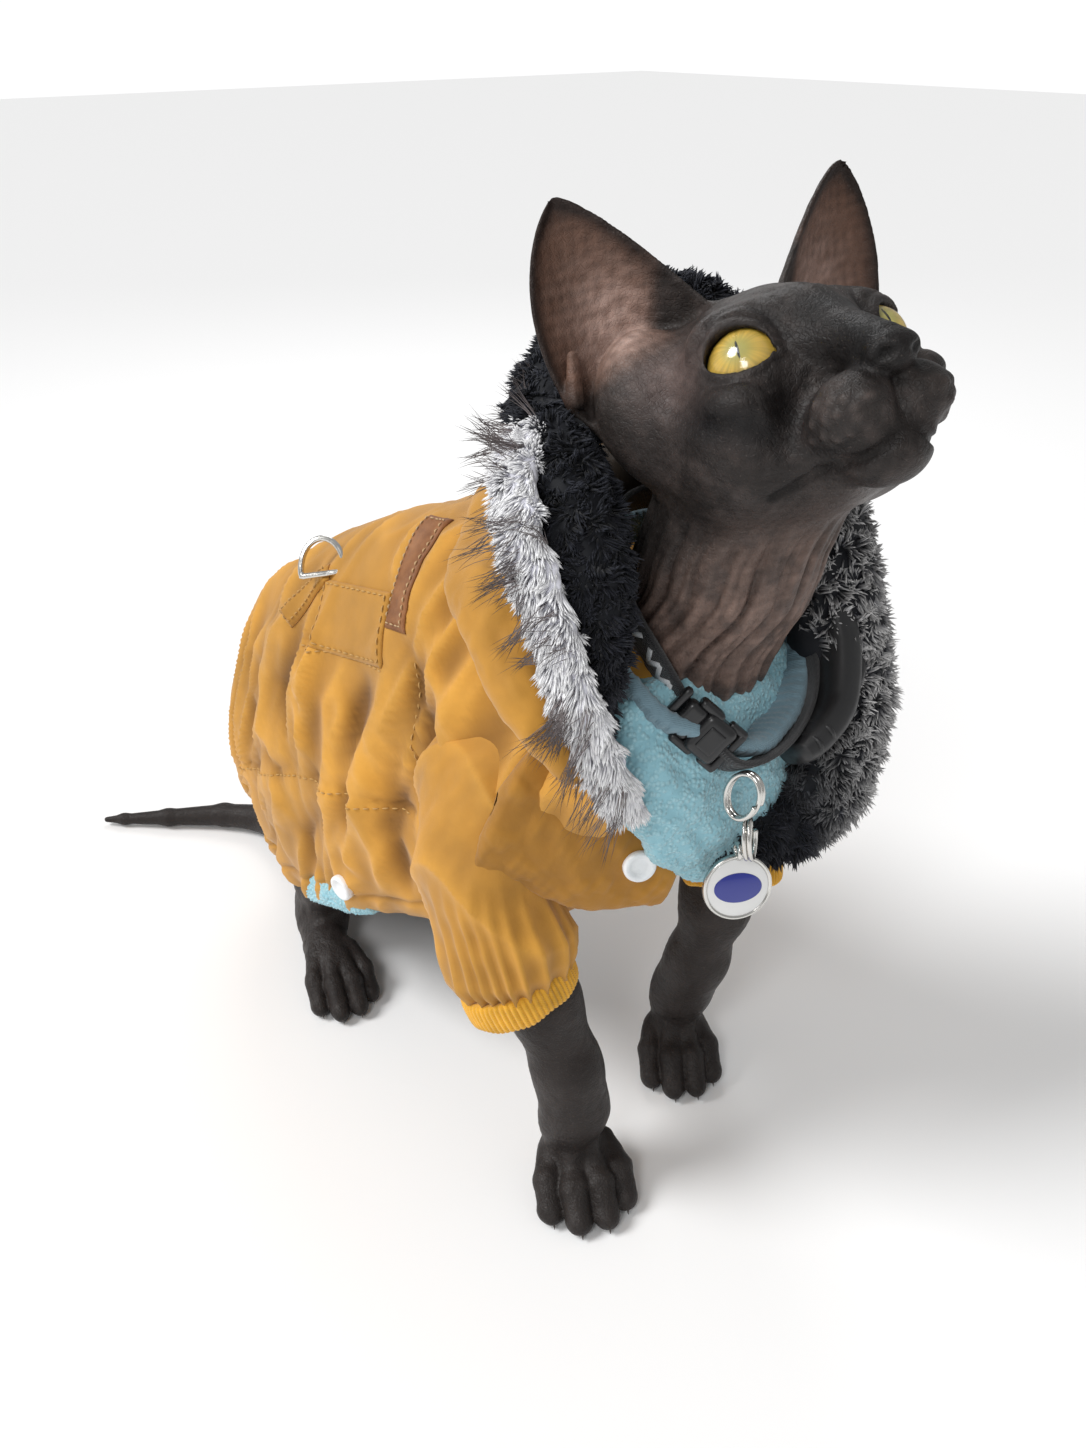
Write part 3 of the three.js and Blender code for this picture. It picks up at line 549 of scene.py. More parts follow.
    def creases(self, p: Points, d: Array) -> Array:
        """Cuts the nostrils, the mouth and the folds of the face into the skull."""
        q = mirrored(p)
        nostril = chain(q, ((2.2, -59.0, -7.2, 1.4), (4.6, -56.6, -6.6, 1.5), (7.2, -53.2, -8.2, 0.7)), 0.8)
        parting = chain(p, ((0, -60.0, -6.0, 0.5), (0, -57.0, -11, 0.7), (0, -52.6, -21, 1.0)), 1.0)
        d = soft_max(soft_max(d, -nostril, 0.8), -parting, 1.2)
        d = soft_max(d, -(chain(q, self.mouth, 0.8) - 0.5), 0.7)
        for line, deep, wide in self.lines:
            away = chain(q, [(*at, 0.0) for at in line], 0.5)
            d = d + deep * np.exp(-((away / wide) ** 2))
        for k in range(4):
            line = q[:, 2] - (24 + 4.2 * k) - 2.0 * np.sin(q[:, 0] * 0.16 + k)
            ahead = ramp(-q[:, 1], 0, 14) * ramp(-q[:, 0], -26, -14)
            d = d + 0.34 * np.exp(-((line / 0.9) ** 2)) * ahead
        for k in range(3):
            line = q[:, 0] - (2.2 + 3.4 * k) - 0.12 * (q[:, 2] - 20)
            d = d + 0.3 * np.exp(-((line / 0.8) ** 2)) * ramp(q[:, 2], 12, 20) * ramp(-q[:, 1], 14, 24)
        return d

    def whisker_bumps(self, p: Points, d: Array) -> Array:
        """Raises the rows of small bumps that the whiskers grow from."""
        q = mirrored(p)
        near = (q[:, 1] < -28) & (q[:, 2] < -2) & (q[:, 2] > -26)
        if not near.any():
            return d
        r = q[near]
        rise = np.zeros(len(r))
        for k, at in enumerate(self.bumps):
            gap = np.linalg.norm((r - at) * [0.6, 1, 1], axis=1)
            rise = np.maximum(rise, np.exp(-((gap / (1.15 + 0.25 * (k % 3))) ** 2)))
        d = d.copy()
        d[near] -= 0.85 * rise
        return d

    def lids(self, p: Points, d: Array) -> Array:
        """Adds the lids and opens them over the eyes."""
        q = mirrored(p)
        rel = q - self.eye
        far = np.linalg.norm(rel, axis=1)
        gaze = unit(self.gaze)
        out = unit(np.cross((0, 0, 1), gaze))
        out *= np.sign(out[0])
        up = unit(np.cross(out, gaze))
        up *= np.sign(up[2])
        # the opening slants: its inner corner lies low
        tilt = math.radians(14)
        u = rel @ (out * math.cos(tilt) + up * math.sin(tilt))
        v = rel @ (up * math.cos(tilt) - out * math.sin(tilt))
        w = rel @ gaze
        shell = far - (self.eye_radius + 1.5)
        d = soft_min(d, shell, 3.0)
        x = np.clip((u - 1.3) / 8.3, -1.25, 1)
        arch = np.sqrt(np.clip(1 - np.clip(x, -1, 1) ** 2, 0, 1))
        top = 6.9 * arch**0.9
        low = -5.6 * arch**1.1
        corner = 0.6 * ramp(-x, 0.75, 1.0)
        opening = np.maximum(v - top - corner, low - corner - v) * 0.8
        opening = np.maximum(opening, np.abs(u - 1.0) - 9.2)
        for past, deep in ((v - top - 3.4, 0.6), (low - v - 3.0, 0.5)):
            crease = np.exp(-((past / 0.7) ** 2)) * ramp(w, 0, 4) * (np.abs(u) < 10)
            d = d + deep * crease * (far < self.eye_radius + 6)
        cut = np.maximum(opening, -w)
        d = soft_max(d, -np.maximum(cut, far - self.eye_radius - 9), 0.8)
        return soft_max(d, self.eye_radius + 0.12 - far, 0.5)

    def ear(self, p: Points, d: Array) -> Array:
        """Adds the ears, each a cupped wall with ridges at its root."""
        q = mirrored(p)
        a, b, s = ((q - self.ear_base) @ axis for axis in self.ear_axes)

        def depth(a_: Array, s_: Array) -> Array:
            """How deep the cup of the ear lies at a place on it."""
            t = np.clip(s_ / 58.0, -0.3, 1.0)
            inner, outer = edges(s_)
            v = np.clip((2 * a_ - inner - outer) / np.maximum(outer - inner, 1.0), -1.3, 1.3)
            deep = 15.0 * np.clip(1 - t, 0, 1.3) ** 0.75 * (1 - v * v)
            rim = (4.0 + 5.0 * v) * np.clip(1 - t, 0, 1.2)
            fold = np.zeros_like(a_)
            for where, width, high in ((-7.0, 1.9, 1.3), (0.5, 1.6, 1.0), (7.5, 1.7, 1.1)):
                fold += high * np.exp(-(((a_ - where - 0.10 * s_) / width) ** 2))
            return rim + deep - fold * ramp(-s_, -26, -6)

        def edges(s_: Array) -> tuple[Array, Array]:
            """Where the ear's inner and outer edges run at a height."""
            x = np.clip((s_ - 9.5) / 47.5, -0.6, 1.0)
            inner = -21.6 * np.where(x < 0, 1 - x, np.clip(1 - x, 0, 1) ** 0.66)
            y = np.clip((s_ - 8) / 49.0, 0, 1.0)
            outer = np.where(s_ < 8, 25.5 - (8 - s_) * 0.4, 25.5 * (1 - y**2.3) ** 0.72)
            return inner, outer

        inner, outer = edges(s)
        e = 0.6
        here = depth(a, s)
        da = (depth(a + e, s) - here) / e
        ds = (depth(a, s + e) - here) / e
        steep = np.sqrt(1 + np.clip(da, -2.5, 2.5) ** 2 + np.clip(ds, -2.5, 2.5) ** 2)
        half = 0.95 + 0.5 * ramp(-s, -16, 0) + 0.10 * wave_noise(q, 5.0, 33)
        rim = np.minimum(a - inner, outer - a)
        half = half + 0.35 * np.exp(-((rim - 1.2) ** 2) / 1.6)
        sheet = np.abs(b - here) / steep - half
        ends = np.maximum(s - self.ear_length, -14 - s)
        side = np.maximum(np.maximum(a - outer, inner - a) * 0.75, ends)
        wall = soft_max(sheet, side, 1.8)
        d = soft_min(d, wall, 3.2)
        # the small pocket on the ear's outer edge
        pocket = capsule(q, (47.5, 20.0, 22.0), (46.0, 17.0, 33.0), 2.6, 1.6)
        pocket = soft_max(pocket, -capsule(q, (46.2, 16.4, 20.0), (44.5, 14.5, 33.0), 1.9, 1.3), 0.8)
        return soft_min(d, pocket, 1.6)

    def whole(self, p: Points) -> Array:
        """Distance to the head with all its parts, for points in the cat's frame."""
        q = self.local(p)
        d = self.skull(q)
        d = self.ear(q, d)
        d = self.lids(q, d)
        d = self.creases(q, d)
        return self.whisker_bumps(q, d)


@dataclass
class BodyShape:
    """The neck, trunk, legs, paws and tail."""

    neck: Table = (
        (11, -112, 170, 25), (12, -126, 196, 24.5), (14, -137, 220, 24), (16, -146, 244, 24.5),
        (18, -151, 262, 26),
    )
    trunk: Table = (
        (10, -100, 180, 32), (9, -60, 156, 36), (7, -10, 134, 36), (4, 38, 108, 32), (3, 68, 78, 25),
        (1, 84, 54, 17),
    )
    thigh: Table = ((18, 64, 82, 13), (26, 42, 78, 16), (34, 14, 58, 11))
    tail: Table = (
        (0, 84, 40, 12), (0, 100, 24, 10), (0, 122, 11.5, 8.4), (-2, 146, 8.6, 7.2), (-15, 164, 7.2, 5.8),
        (-38, 184, 5.4, 4.2), (-56, 200, 3.9, 2.6), (-63, 206.5, 3.2, 1.5),
    )

    def throat(self, p: Points) -> Array:
        """Distance to the neck, with its long upright folds."""
        d = chain(p, self.neck, 8)
        angle, lift = self.around(p)
        ring = np.sin((p[:, 2] + 0.35 * p[:, 1]) / 1.9 + 2 * np.sin(angle * 3))
        return d + self.folds(p) - 0.9 * lift + 0.12 * lift * ring

    def around(self, p: Points) -> tuple[Array, Array]:
        """The angle of each point round the neck and how strongly the folds show there."""
        line = np.array(self.neck)
        cx, cy = (np.interp(p[:, 2], line[:, 2], line[:, k]) for k in (0, 1))
        angle = np.arctan2(p[:, 0] - cx, -(p[:, 1] - cy))
        return angle, ramp(p[:, 2], 168, 205) * ramp(-p[:, 2], -283, -246)

    def folds(self, p: Points) -> Array:
        """Depth of the neck's upright folds."""
        angle, lift = self.around(p)
        sway = 0.13 * np.sin(p[:, 2] / 15.0) + 0.05 * np.sin(p[:, 2] / 5.7 + 1.0)
        out = np.zeros(len(p))
        for count, high, offset, sharp in ((20, 2.1, 0.3, 1.7), (33, 1.0, 1.1, 1.5), (55, 0.4, 2.0, 1.2)):
            phase = (angle + sway * (1 + 3 / count)) * count / 2 + offset
            phase = phase + 0.6 * np.sin(p[:, 2] / 21 + count)
            out += high * lift * (1 - np.abs(np.sin(phase)) ** (1 / sharp)) ** 1.2
        return out

    def body(self, p: Points) -> Array:
        """Distance to the trunk and thighs, which the coat hides."""
        d = chain(p, self.trunk, 14)
        thigh = chain(mirrored(p - [3, 0, 0]), self.thigh, 8)
        return soft_min(d, thigh, 10)


@dataclass
class Paw:
    """One paw and its leg, in the paw's own frame: toes to -y, sole at z = 0."""

    name: str
    at: tuple[float, float]
    yaw: float
    leg: Table
    low: Triple
    high: Triple
    width: float = 1.0
    hind: bool = False
    toe_lines: Table = (
        (-8.6, -12.2, -12.6, -19.0), (-3.2, -4.4, -4.6, -25.5), (3.2, 4.4, 4.6, -25.0),
        (8.6, 11.9, 12.2, -18.2),
    )

    def local(self, p: Points) -> Points:
        """Points of the cat's frame in the paw's own frame."""
        c, s = math.cos(self.yaw), math.sin(self.yaw)
        x, y = p[:, 0] - self.at[0], p[:, 1] - self.at[1]
        return np.stack([(c * x + s * y) / self.width, -s * x + c * y, p[:, 2]], 1)

    def world(self, p: Points) -> Points:
        """Points of the paw's own frame in the cat's frame."""
        p = np.asarray(p, float)
        c, s = math.cos(self.yaw), math.sin(self.yaw)
        x, y = p[..., 0] * self.width, p[..., 1]
        return np.stack([c * x - s * y + self.at[0], s * x + c * y + self.at[1], p[..., 2]], -1)

    def toes(self) -> list[tuple[Points, tuple[float, ...]]]:
        """The joints and radii of the four toes, from the outer one inwards."""
        out = []
        for x0, x1, x2, y2 in self.toe_lines:
            knee = np.array([x1, y2 + 9.5, 11.6 if abs(x0) < 5 else 10.6])
            out.append((np.array([[x0, y2 + 21, 13.5], knee, [x2, y2 + 1.5, 5.2]]), (4.7, 4.7, 4.3)))
        return out

    def claws(self) -> Object:
        """Makes the four claws, each a curved cone that comes out over its toe."""
        parts = []
        u = np.linspace(0, 1, 9)
        for joints, _ in self.toes():
            x, y, z = joints[2]
            path = np.stack([x + 0 * u, y - 2.4 - 4.6 * u, z + 0.6 - 1.2 * u - 2.6 * u**2], 1)
            points, faces = tube(path, 1.15 * (1.06 - u), 1.5 * (1.06 - u), (0, 0, 1), 12)
            parts.append((self.world(points), faces))
        return make_mesh(f"claws_{self.name}", *merged(parts))

    def shape(self, p: Points) -> Array:
        """Distance to the paw and the leg."""
        q = self.local(p)
        d = ellipsoid(q, (0, 1, 10.5), (10.2, 13.5, 9.6))
        d = soft_min(d, ellipsoid(q, (0, -6, 5), (9.5, 12, 5.5)), 4)
        toes = None
        for joints, radii in self.toes():
            one = chain(q, [(*j, r) for j, r in zip(joints, radii)], 1.2)
            one = soft_min(one, ellipsoid(q, joints[2] + [0, -0.6, -0.9], (4.3, 5.6, 4.2)), 1.5)
            knuckle = np.abs(q[:, 1] - joints[1][1] + 3.0) + 2.2 * np.abs(q[:, 0] - joints[1][0])
            one = one + 0.35 * np.exp(-((knuckle / 1.6) ** 2)) * (q[:, 2] > 8)
            toes = one if toes is None else soft_min(toes, one, 0.9)
        d = soft_min(d, toes, 2.6)
        leg = chain(p, self.leg, 14)
        d = soft_min(d, leg, 7)
        if not self.hind:
            # tendons run down the front of the leg to the toes
            for x in (-3.4, 3.4):
                d = soft_min(d, capsule(q, (x * 0.7, 2, 38), (x * 1.2, -9, 15.5), 1.6, 1.6), 2.6)
            wrist = np.sin(q[:, 2] * 1.15 + 0.5 * np.sin(q[:, 0] * 0.5)) ** 8
            d = d + 0.14 * wrist * ramp(q[:, 2], 18, 24) * ramp(-q[:, 2], -44, -32)
        d = d + 0.14 * wave_noise(p, 7.0, 5)
        fine = np.abs(wave_noise(p * [1.0, 1.0, 1.5], 3.6, 6, 2))
        d = d + 0.16 * (1 - np.clip(fine * 5, 0, 1)) * ramp(q[:, 2], 2, 6)
        return np.maximum(d, -p[:, 2])


PAWS = (
    Paw(
        "forepaw_right",
        (-25.5, -131.5),
        -0.5,
        (
            (-27, -128, 26, 10.2), (-26.5, -130.5, 36, 9.6), (-28.5, -128, 56, 9.8), (-32, -119, 82, 10.8),
            (-37, -108, 118, 12.5),
        ),
        (-70, -172, -2), (2, -92, 118),
        1.12,
    ),
    Paw(
        "forepaw_left",
        (48.5, -110),
        -0.62,
        (
            (50, -108, 26, 10.0), (50.5, -111, 36, 9.4), (50, -118, 56, 9.6), (51, -124, 86, 10.8),
            (54, -114, 120, 12.5),
        ),
        (14, -152, -2), (80, -84, 126),
    ),
    Paw(
        "hindpaw_right",
        (-36.5, 20),
        -0.32,
        (
            (-34, 32, 12, 10.0), (-24, 50, 14, 9.0), (-14, 64, 20, 9.0), (-24, 44, 40, 11.0),
            (-33, 18, 56, 11.0),
        ),
        (-72, -14, -2), (4, 96, 74),
        0.92,
        True,
    ),
    Paw(
        "hindpaw_left",
        (45, 21),
        0.3,
        (
            (42, 34, 12, 10.0), (38, 56, 12, 10.0), (34, 76, 13, 10.5), (38, 50, 36, 12.0),
            (44, 14, 56, 14.0),
        ),
        (8, -14, -2), (78, 96, 74),
        1.0,
        True,
    ),
)


# Materials


@dataclass(frozen=True)
class Finish:
    """A plain finish for the shader: colour, roughness, metal and sheen."""

    colour: Triple
    roughness: float = 0.5
    metallic: float = 0.0
    sheen: float = 0.0
    coat: float = 0.0
    specular: float = 0.5


class Nodes:
    """Adds nodes to a node tree and links them."""

    def __init__(self, tree: Tree) -> None:
        """Takes the tree."""
        self.tree = tree

    def fill(self, socket: Socket, value: object) -> None:
        """Gives a socket a value or links another node's output to it."""
        if isinstance(value, Socket):
            self.tree.links.new(value, socket)
        else:
            socket.default_value = value

    def node(
        self, kind: str, links: dict[str | int, object] | None = None, **settings: object
    ) -> bpy.types.Node:
        """Adds a node.

        Args:
            kind: the node's type name.
            links: a value or another node's output for each input.
            settings: properties of the node.

        Returns:
            The node.
        """
        made = self.tree.nodes.new(kind)
        for key, value in settings.items():
            setattr(made, key, value)
        for key, value in (links or {}).items():
            self.fill(made.inputs[key], value)
        return made

    def noise(self, scale: object, detail: float = 3.0, at: Socket | None = None) -> Socket:
        """A noise value at a number of lumps for each metre."""
        links = {"Vector": at or self.place(), "Scale": scale, "Detail": detail}
        return self.node("ShaderNodeTexNoise", links).outputs["Fac"]

    def place(self) -> Socket:
        """The object's own coordinates, in metres."""
        return self.node("ShaderNodeTexCoord").outputs["Object"]

    def math(self, operation: str, *values: object) -> Socket:
        """One sum on two or three values."""
        return self.node("ShaderNodeMath", dict(enumerate(values)), operation=operation).outputs[0]

    def remap(self, value: Socket, low: float, high: float, out_low: float, out_high: float) -> Socket:
        """Maps a value from one range to another, held at the ends."""
        links = {"Value": value, "From Min": low, "From Max": high, "To Min": out_low, "To Max": out_high}
        return self.node("ShaderNodeMapRange", links).outputs["Result"]


class Shader(Nodes):
    """Builds one material's node tree a node at a time."""

    def __init__(self, name: str, finish: Finish) -> None:
        """Makes the material with its Principled shader set to the finish."""
        self.material = bpy.data.materials.new(name)
        self.material.use_nodes = True
        super().__init__(self.material.node_tree)
        self.bsdf = self.tree.nodes["Principled BSDF"]
        values = {
            "Base Color": (*finish.colour, 1.0),
            "Roughness": finish.roughness,
            "Metallic": finish.metallic,
            "Sheen Weight": finish.sheen,
            "Coat Weight": finish.coat,
            "Specular IOR Level": finish.specular,
        }
        for key, value in values.items():
            self.bsdf.inputs[key].default_value = value
        self.material.diffuse_color = (*finish.colour, 1.0)

    def mix(self, fac: object, a: object, b: object, mode: str = "MIX") -> Socket:
        """Mixes two colours."""
        made = self.node("ShaderNodeMix", data_type="RGBA", blend_type=mode)
        for number, value in ((0, fac), (6, a), (7, b)):
            self.fill(made.inputs[number], value)
        return made.outputs[2]

    def bump(self, height: Socket, distance: float, strength: float = 1.0) -> None:
        """Feeds a height, with its depth in metres, to the shader's normal."""
        before = self.bsdf.inputs["Normal"]
        links: dict[str | int, object] = {"Height": height, "Distance": distance, "Strength": strength}
        if before.is_linked:
            links["Normal"] = before.links[0].from_socket
        self.fill(before, self.node("ShaderNodeBump", links).outputs["Normal"])

    def feed(self, name: str, value: Socket) -> None:
        """Feeds one of the shader's inputs."""
        self.fill(self.bsdf.inputs[name], value)

    def paint(self) -> Socket:
        """The colour that the mesh carries at each vertex."""
        return self.node("ShaderNodeVertexColor", layer_name="Paint").outputs["Color"]

    def effect(self, tree: Tree, at: Socket, value: float) -> Socket:
        """Places a shared effect with its one value, and gives what it puts out."""
        return self.node("ShaderNodeGroup", {0: at, 1: value}, node_tree=tree).outputs[0]


class Effect(Nodes):
    """A node group that several materials share: a place and one value in, one value out."""

    def __init__(self, name: str, value: str, usual: float, result: str) -> None:
        """Makes the group with its named sockets."""
        super().__init__(bpy.data.node_groups.new(name, "ShaderNodeTree"))
        sockets = self.tree.interface
        sockets.new_socket("Vector", in_out="INPUT", socket_type="NodeSocketVector")
        sockets.new_socket(value, in_out="INPUT", socket_type="NodeSocketFloat").default_value = usual
        sockets.new_socket(result, in_out="OUTPUT", socket_type="NodeSocketFloat")
        entry = self.tree.nodes.new("NodeGroupInput")
        self.at, self.value = entry.outputs[0], entry.outputs[1]
        self.leave = self.tree.nodes.new("NodeGroupOutput")

    def done(self, result: Socket) -> Tree:
        """Puts the result out and gives the finished group."""
        self.fill(self.leave.inputs[0], result)
        return self.tree


class Effects:
    """The effects, each built once."""

    def __init__(self) -> None:
        """Builds the groups."""
        # fine creases and pores of bare skin, as one height
        e = Effect("Skin pores", "Scale", 900.0, "Height")
        cells = e.node("ShaderNodeTexVoronoi", {"Vector": e.at, "Scale": e.value}, feature="DISTANCE_TO_EDGE")
        low = e.math("MINIMUM", cells.outputs["Distance"], 0.14)
        grain = e.noise(e.math("MULTIPLY", e.value, 2.0), 4.0, e.at)
        self.pores = e.done(e.math("MULTIPLY_ADD", low, 3.0, grain))
        # slanting ribs of a woven cloth with a little unevenness, as one height
        e = Effect("Twill weave", "Threads", 1900.0, "Height")
        ribs = {"Vector": e.at, "Scale": e.value, "Distortion": 0.6, "Detail": 1.0}
        wave = e.node("ShaderNodeTexWave", ribs, bands_direction="DIAGONAL")
        noise = e.node("ShaderNodeTexNoise", {"Vector": e.at, "Scale": 1400.0})
        self.twill = e.done(e.math("ADD", wave.outputs["Fac"], noise.outputs["Fac"]))
        # cloudy light and dark patches, as a mask
        e = Effect("Uneven tone", "Scale", 30.0, "Mask")
        cloud = {"Vector": e.at, "Scale": e.value, "Detail": 5.0, "Roughness": 0.6}
        noise = e.node("ShaderNodeTexNoise", cloud)
        self.wear = e.done(e.remap(noise.outputs["Fac"], 0.34, 0.66, 0.0, 1.0))


def toned(colour: Sequence[float], factor: float) -> tuple[float, ...]:
    """A colour made darker or lighter, with its alpha."""
    return (*(min(1.0, c * factor) for c in colour), 1.0)


@dataclass
class Palette:
    """Every material on the cat and its clothes."""

    effects: Effects

    def skin(self) -> Material:
        """Bare dark skin, painted by region and finely creased."""
        s = Shader("Bare skin", Finish((0.05, 0.04, 0.036), 0.46, coat=0.0, specular=0.20))
        at = s.place()
        tone = s.effect(self.effects.wear, at, 70.0)
        shade = s.mix(s.remap(tone, 0, 1, 0.0, 0.45), s.paint(), (0.6, 0.55, 0.52, 1), "MULTIPLY")
        specks = s.remap(s.noise(1500, 2, at), 0.66, 0.76, 0, 0.22)
        s.feed("Base Color", s.mix(specks, shade, (0.22, 0.18, 0.16, 1)))
        pores = s.effect(self.effects.pores, at, 720.0)
        s.bump(pores, 0.00022, 0.75)
        s.bump(s.noise(240, 6, at), 0.0011, 0.7)
        s.feed("Roughness", s.remap(tone, 0, 1, 0.38, 0.52))
        s.bsdf.inputs["Subsurface Weight"].default_value = 0.06
        s.bsdf.inputs["Subsurface Radius"].default_value = (0.0025, 0.0012, 0.0008)
        return s.material

    def iris(self) -> Material:
        """The eye's painted ball under its clear cover."""
        s = Shader("Iris", Finish((0.7, 0.5, 0.1), 0.25, coat=1.0))
        s.bsdf.inputs["Coat Roughness"].default_value = 0.02
        s.feed("Base Color", s.paint())
        return s.material

    def cornea(self) -> Material:
        """The clear bulge over the eye."""
        s = Shader("Clear eye surface", Finish((1, 1, 1), 0.0))
        s.bsdf.inputs["Transmission Weight"].default_value = 1.0
        s.bsdf.inputs["IOR"].default_value = 1.33
        return s.material

    def cloth(self, name: str, colour: Triple, painted: bool = True) -> Material:
        """Waxed cotton twill, a little uneven in tone; painted cloth carries painted shade in its folds and
        painted light on its ridges.
        """
        s = Shader(name, Finish(colour, 0.72, sheen=0.18, specular=0.28))
        at = s.place()
        tone = s.effect(self.effects.wear, at, 26.0)
        base = s.mix(tone, toned(colour, 0.80), toned(colour, 1.10))
        # painted shade and painted light from the mesh's Paint grey are multiplied into the colour
        s.feed("Base Color", s.mix(1.0, base, s.paint(), "MULTIPLY") if painted else base)
        weave = s.effect(self.effects.twill, at, 1500.0)
        s.bump(weave, 0.00007, 0.5)
        s.bump(s.noise(420, 3, at), 0.00025, 0.35)
        s.feed("Roughness", s.remap(tone, 0, 1, 0.62, 0.76))
        return s.material

    def knit(self, name: str, colour: Triple) -> Material:
        """Rib knit: fine loops over the modelled ribs."""
        s = Shader(name, Finish(colour, 0.9, sheen=0.3, specular=0.15))
        at = s.place()
        tone = s.effect(self.effects.wear, at, 90.0)
        s.feed("Base Color", s.mix(tone, toned(colour, 0.72), toned(colour, 1)))
        weave = s.effect(self.effects.twill, at, 700.0)
        s.bump(weave, 0.00018, 0.6)
        return s.material

    def terry(self) -> Material:
        """Pale blue towelling with small loops."""
        s = Shader("Blue towelling", Finish((0.34, 0.60, 0.68), 0.95, sheen=0.35, specular=0.1))
        at = s.place()
        loops = s.node("ShaderNodeTexVoronoi", {"Vector": at, "Scale": 620.0}).outputs["Distance"]
        height = s.remap(loops, 0.0, 0.6, 1.0, 0.0)
        s.feed("Base Color", s.mix(height, (0.28, 0.52, 0.60, 1), (0.44, 0.71, 0.78, 1)))
        s.bump(height, 0.0008, 0.8)
        return s.material

    def fur(self, name: str) -> Material:
        """Fur whose colour runs from root to tip on the mesh itself."""
        s = Shader(name, Finish((0.1, 0.1, 0.1), 0.62, sheen=0.06, specular=0.16))
        at = s.place()
        grain = s.noise(900, 2, at)
        much = s.remap(grain, 0.3, 0.7, 0.0, 0.15)
        s.feed("Base Color", s.mix(much, s.paint(), (0.7, 0.7, 0.72, 1), "MULTIPLY"))
        return s.material

    def webbing(self) -> Material:
        """Black woven nylon."""
        s = Shader("Black webbing", Finish((0.012, 0.012, 0.013), 0.62, sheen=0.2, specular=0.4))
        at = s.place()
        weave = s.effect(self.effects.twill, at, 900.0)
        s.bump(weave, 0.0003, 0.8)
        s.feed("Base Color", s.mix(weave, (0.006, 0.006, 0.007, 1), (0.022, 0.022, 0.024, 1)))
        return s.material

    def thread(self, name: str, colour: Triple) -> Material:
        """Twisted sewing thread."""
        s = Shader(name, Finish(colour, 0.8, specular=0.2))
        grain = s.noise(2600, 2)
        s.feed("Base Color", s.mix(grain, toned(colour, 0.6), toned(colour, 1)))
        return s.material

    def plastic(self, name: str, colour: Triple, roughness: float) -> Material:
        """Moulded plastic or rubber with faint handling marks."""
        s = Shader(name, Finish(colour, roughness, coat=0.1, specular=0.5))
        at = s.place()
        s.feed("Roughness", s.remap(s.noise(260, 4, at), 0.3, 0.7, roughness * 0.8, roughness * 1.3))
        s.bump(s.noise(1600, 2, at), 0.00005, 0.3)
        return s.material

    def steel(self) -> Material:
        """Bright nickel-plated steel with fine rubbing."""
        s = Shader("Plated steel", Finish((0.66, 0.65, 0.62), 0.2, metallic=1.0))
        at = s.place()
        s.feed("Roughness", s.remap(s.noise(420, 5, at), 0.3, 0.7, 0.12, 0.30))
        s.bump(s.noise(2100, 2, at), 0.00003, 0.3)
        return s.material

    def enamel(self, name: str, colour: Triple) -> Material:
        """Glossy enamel under a clear coat."""
        s = Shader(name, Finish(colour, 0.3, coat=0.8, specular=0.5))
        tone = s.noise(150, 3)
        s.feed("Base Color", s.mix(tone, toned(colour, 0.93), toned(colour, 1)))
        return s.material

    def leather(self) -> Material:
        """Brown leather with a soft grain, uneven in tone."""
        s = Shader("Brown leather", Finish((0.23, 0.095, 0.035), 0.55, specular=0.35))
        at = s.place()
        tone = s.effect(self.effects.wear, at, 110.0)
        s.feed("Base Color", s.mix(tone, (0.17, 0.065, 0.024, 1), (0.31, 0.135, 0.052, 1)))
        grain = s.effect(self.effects.pores, at, 1100.0)
        s.bump(grain, 0.00012, 0.6)
        return s.material


# The cat itself


